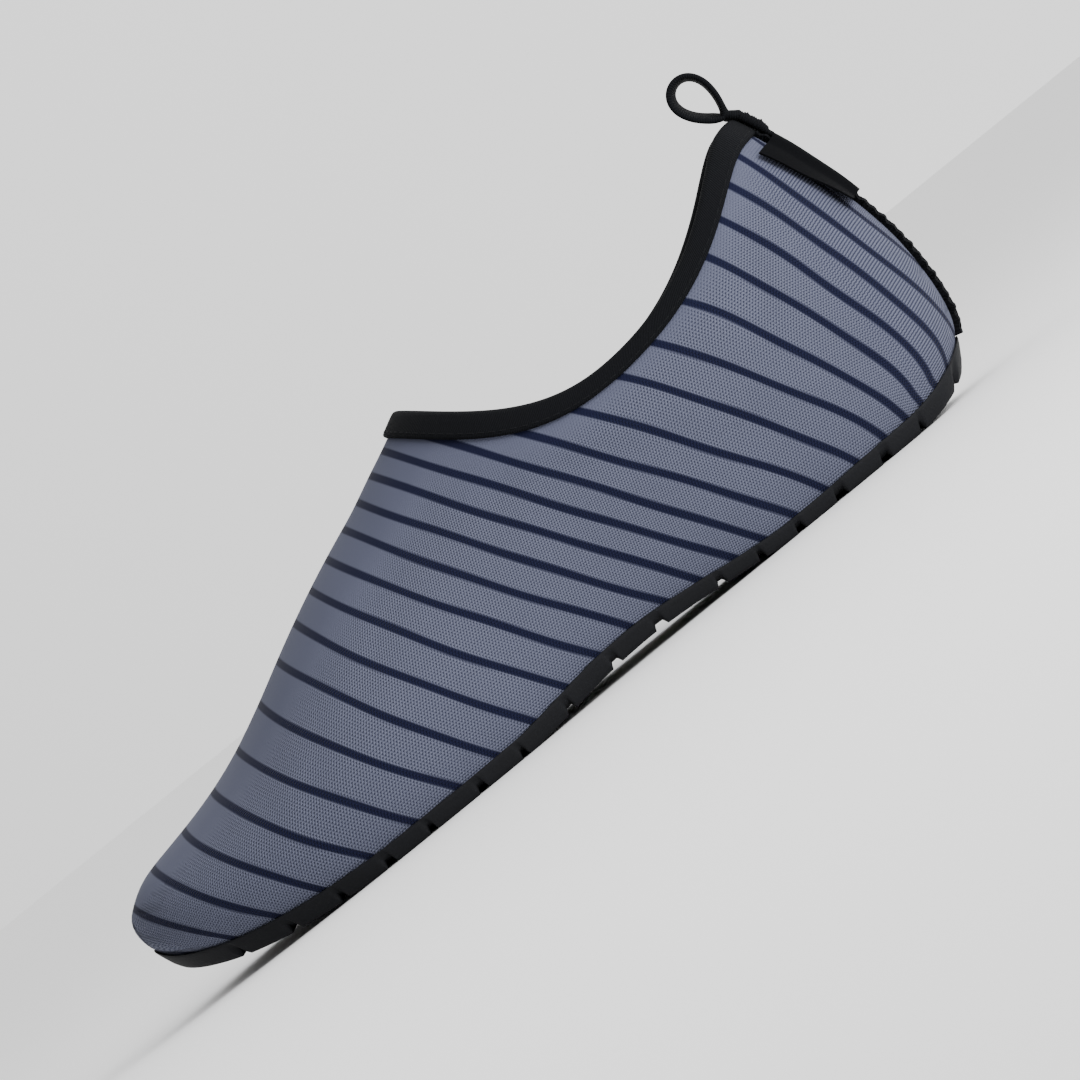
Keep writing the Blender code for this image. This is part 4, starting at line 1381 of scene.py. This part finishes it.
def make_loop(material, sewing):
    """The pull loop: one tape, from its tail on the heel up to the crown, round and back to it. A
    rough tack holds both of its ends, which makes the tail thicker and uneven there."""
    standing = BINDING_GAP + BINDING + LOOP_CLEARANCE
    ups = np.linspace(float(up_below_collar(np.array(0.0), BINDING_LEG + LOOP_TAIL)), 1.0, 40)
    zero = np.zeros_like(ups)
    normal = upper_normal(zero, ups)
    crown = upper_point(0.0, 1.0) + np.array([0.0, 0.0, standing + LOOP_TAPE])
    lean = np.array([-math.sin(LOOP_LEAN), 0.0, math.cos(LOOP_LEAN)])
    forward = np.array([-math.cos(LOOP_LEAN), 0.0, -math.sin(LOOP_LEAN)])
    ahead, up = teardrop(np.linspace(*LOOP_OPEN, 80), LOOP_HEIGHT + LOOP_POINT, LOOP_WIDTH)
    ring = crown + ahead[:, None] * forward + up[:, None] * lean

    share = np.linspace(0.0, 1.0, len(ups))
    bumps = sum(height * np.sin(share * pace + start) for height, pace, start in TACK_BUMPS)
    thick = LOOP_TAPE + (LOOP_TAPE * TACK_SWELL + bumps) * between(share, *TACK_GROWS)
    tail = upper_point(zero, ups) + normal * (standing + thick / 2)[:, None]
    path = np.concatenate([tail[:-1], ring])
    along = np.linspace(0.0, 1.0, len(ring))
    swell = 1 - between(along, 0.0, SWELL_REACH)
    thickness = np.concatenate([thick[:-1], LOOP_TAPE * (1 + TACK_SWELL * swell)])

    twist = between(along, *LOOP_TWISTS) * (1 - 0.5 * between(along, *LOOP_UNTWISTS))
    turn = LOOP_TWIST * np.concatenate([np.zeros(len(tail) - 1), twist])
    sideways = np.tile([0.0, 1.0, 0.0], (len(path), 1))
    out = np.cross(unit(np.gradient(path, axis=0)), sideways)
    across = sideways * np.cos(turn)[:, None] + out * np.sin(turn)[:, None]
    made = ribbon("loop_tape", path, across, TAPE_WIDTH, thickness)
    soften(made, 50)
    piece(made, material, "tape", "pull_loop")

    # The tack's thread zigzags over the tail
    along_tail = np.linspace(*TACK_SPAN, 400)
    zigzag = np.stack([np.interp(along_tail, share, tail[:, k]) for k in range(3)], axis=-1)
    outward = np.stack([np.interp(along_tail, share, normal[:, k]) for k in range(3)], axis=-1)
    zigzag += outward * (np.interp(along_tail, share, thick) / 2)[:, None]
    sweeps = np.sin(np.linspace(0.0, TACK_SWEEPS * math.pi, 400))
    zigzag[:, 1] += (TAPE_WIDTH / 2 - TACK_MARGIN) * sweeps
    thread("loop_tack_thread", zigzag, outward, sewing, 0.0036)


def sew_binding(sewing):
    """A row of stitches near the lower edge of the binding's outer leg."""
    angles = np.linspace(0.02, 2 * math.pi - 0.02, 1400)
    up = up_below_collar(angles, BINDING_LEG - SEAM_MARGIN)
    normal = upper_normal(angles, up)
    thread("collar_thread", upper_point(angles, up) + normal * (BINDING_GAP + BINDING), normal, sewing)


def sew_heel_tape(sewing):
    """A row of stitches down either edge of the heel tape, from the label to the sole."""
    ups = np.linspace(up_above_sole(SEAM_MARGIN), up_at_heel(HEEL_SEAM_TOP), 260)
    for side, arc in (("outer", HEEL_SEAM_OUT), ("inner", -HEEL_SEAM_OUT)):
        angle = angle_at_arc(np.full_like(ups, arc), ups)
        normal = upper_normal(angle, ups)
        path = upper_point(angle, ups) + normal * (HEEL_TAPE * 0.9)
        thread(side + "_heel_thread", path, normal, sewing, 0.0031)


# Camera, light and floor


def place_camera():
    """The photo's side view, rolled so that the heel points to the upper right."""
    x, y, z = CAMERA_AIM
    back, raised = math.cos(CAMERA_ELEVATION), math.sin(CAMERA_ELEVATION)
    bpy.ops.object.camera_add(
        location=(x, y - CAMERA_DISTANCE * back, z + CAMERA_DISTANCE * raised),
        rotation=(math.pi / 2 - CAMERA_ELEVATION, 0.0, 0.0),
    )
    camera = bpy.context.active_object
    camera.name = "photo camera"
    camera.data.lens = 150.0
    camera.data.clip_start = 0.05
    camera.rotation_euler.rotate_axis("Z", CAMERA_ROLL)
    bpy.context.scene.camera = camera


def heel_softbox():
    """A round white softbox beyond the heel, above and on the camera's side, turned to the shoe."""
    bpy.ops.object.light_add(type="AREA", location=SOFTBOX_PLACE)
    lamp = bpy.context.active_object
    lamp.name = "heel softbox"
    lamp.data.shape = "DISK"
    lamp.data.size = 0.6
    lamp.data.energy = 12.5
    away = np.array(SOFTBOX_PLACE) - np.array(SOFTBOX_TARGET)
    flat = math.hypot(away[0], away[1])
    lamp.rotation_euler = (math.atan2(flat, away[2]), 0.0, math.atan2(away[0], -away[1]))


def studio_world():
    """White all round, brighter above, behind and at the heel than in front and at the toe."""
    world = bpy.data.worlds.new("white studio")
    n = Nodes(world)
    place = n.add("TexCoord", output="Generated")
    lean = n.add("VectorMath", {0: place, 1: BRIGHT_SIDE}, "Value", operation="DOT_PRODUCT")
    reach = {"Value": lean, "From Min": -0.80, "From Max": 0.75, "To Min": 0.25, "To Max": 1.70}
    strength = n.add("MapRange", reach, interpolation_type="SMOOTHSTEP")
    n.put(n.tree.nodes["Background"], {"Strength": strength, "Color": linear("ffffff")})
    return world


def make_stage():
    """A wide sheet of white paper as the floor, the studio round it and one softbox."""
    bpy.ops.mesh.primitive_plane_add(size=40.0, location=(0.0, 0.0, 0.0))
    paper = bpy.context.active_object
    paper.name = "studio_floor"
    paper.data.materials.append(surfaced("white studio paper", Base_Color=linear("fafafa"), Roughness=0.9)[0])
    bpy.context.scene.world = studio_world()
    heel_softbox()


def main():
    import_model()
    bpy.ops.object.select_all(action="DESELECT")
    tape, sewing = black_tape(), black_thread()
    make_upper(striped_knit())
    make_outsole(moulded_rubber())
    make_insole(insole_textile())
    make_binding(tape)
    make_heel_tape(tape)
    make_label(woven_label())
    make_loop(tape, sewing)
    sew_binding(sewing)
    sew_heel_tape(sewing)
    make_stage()
    place_camera()


main()
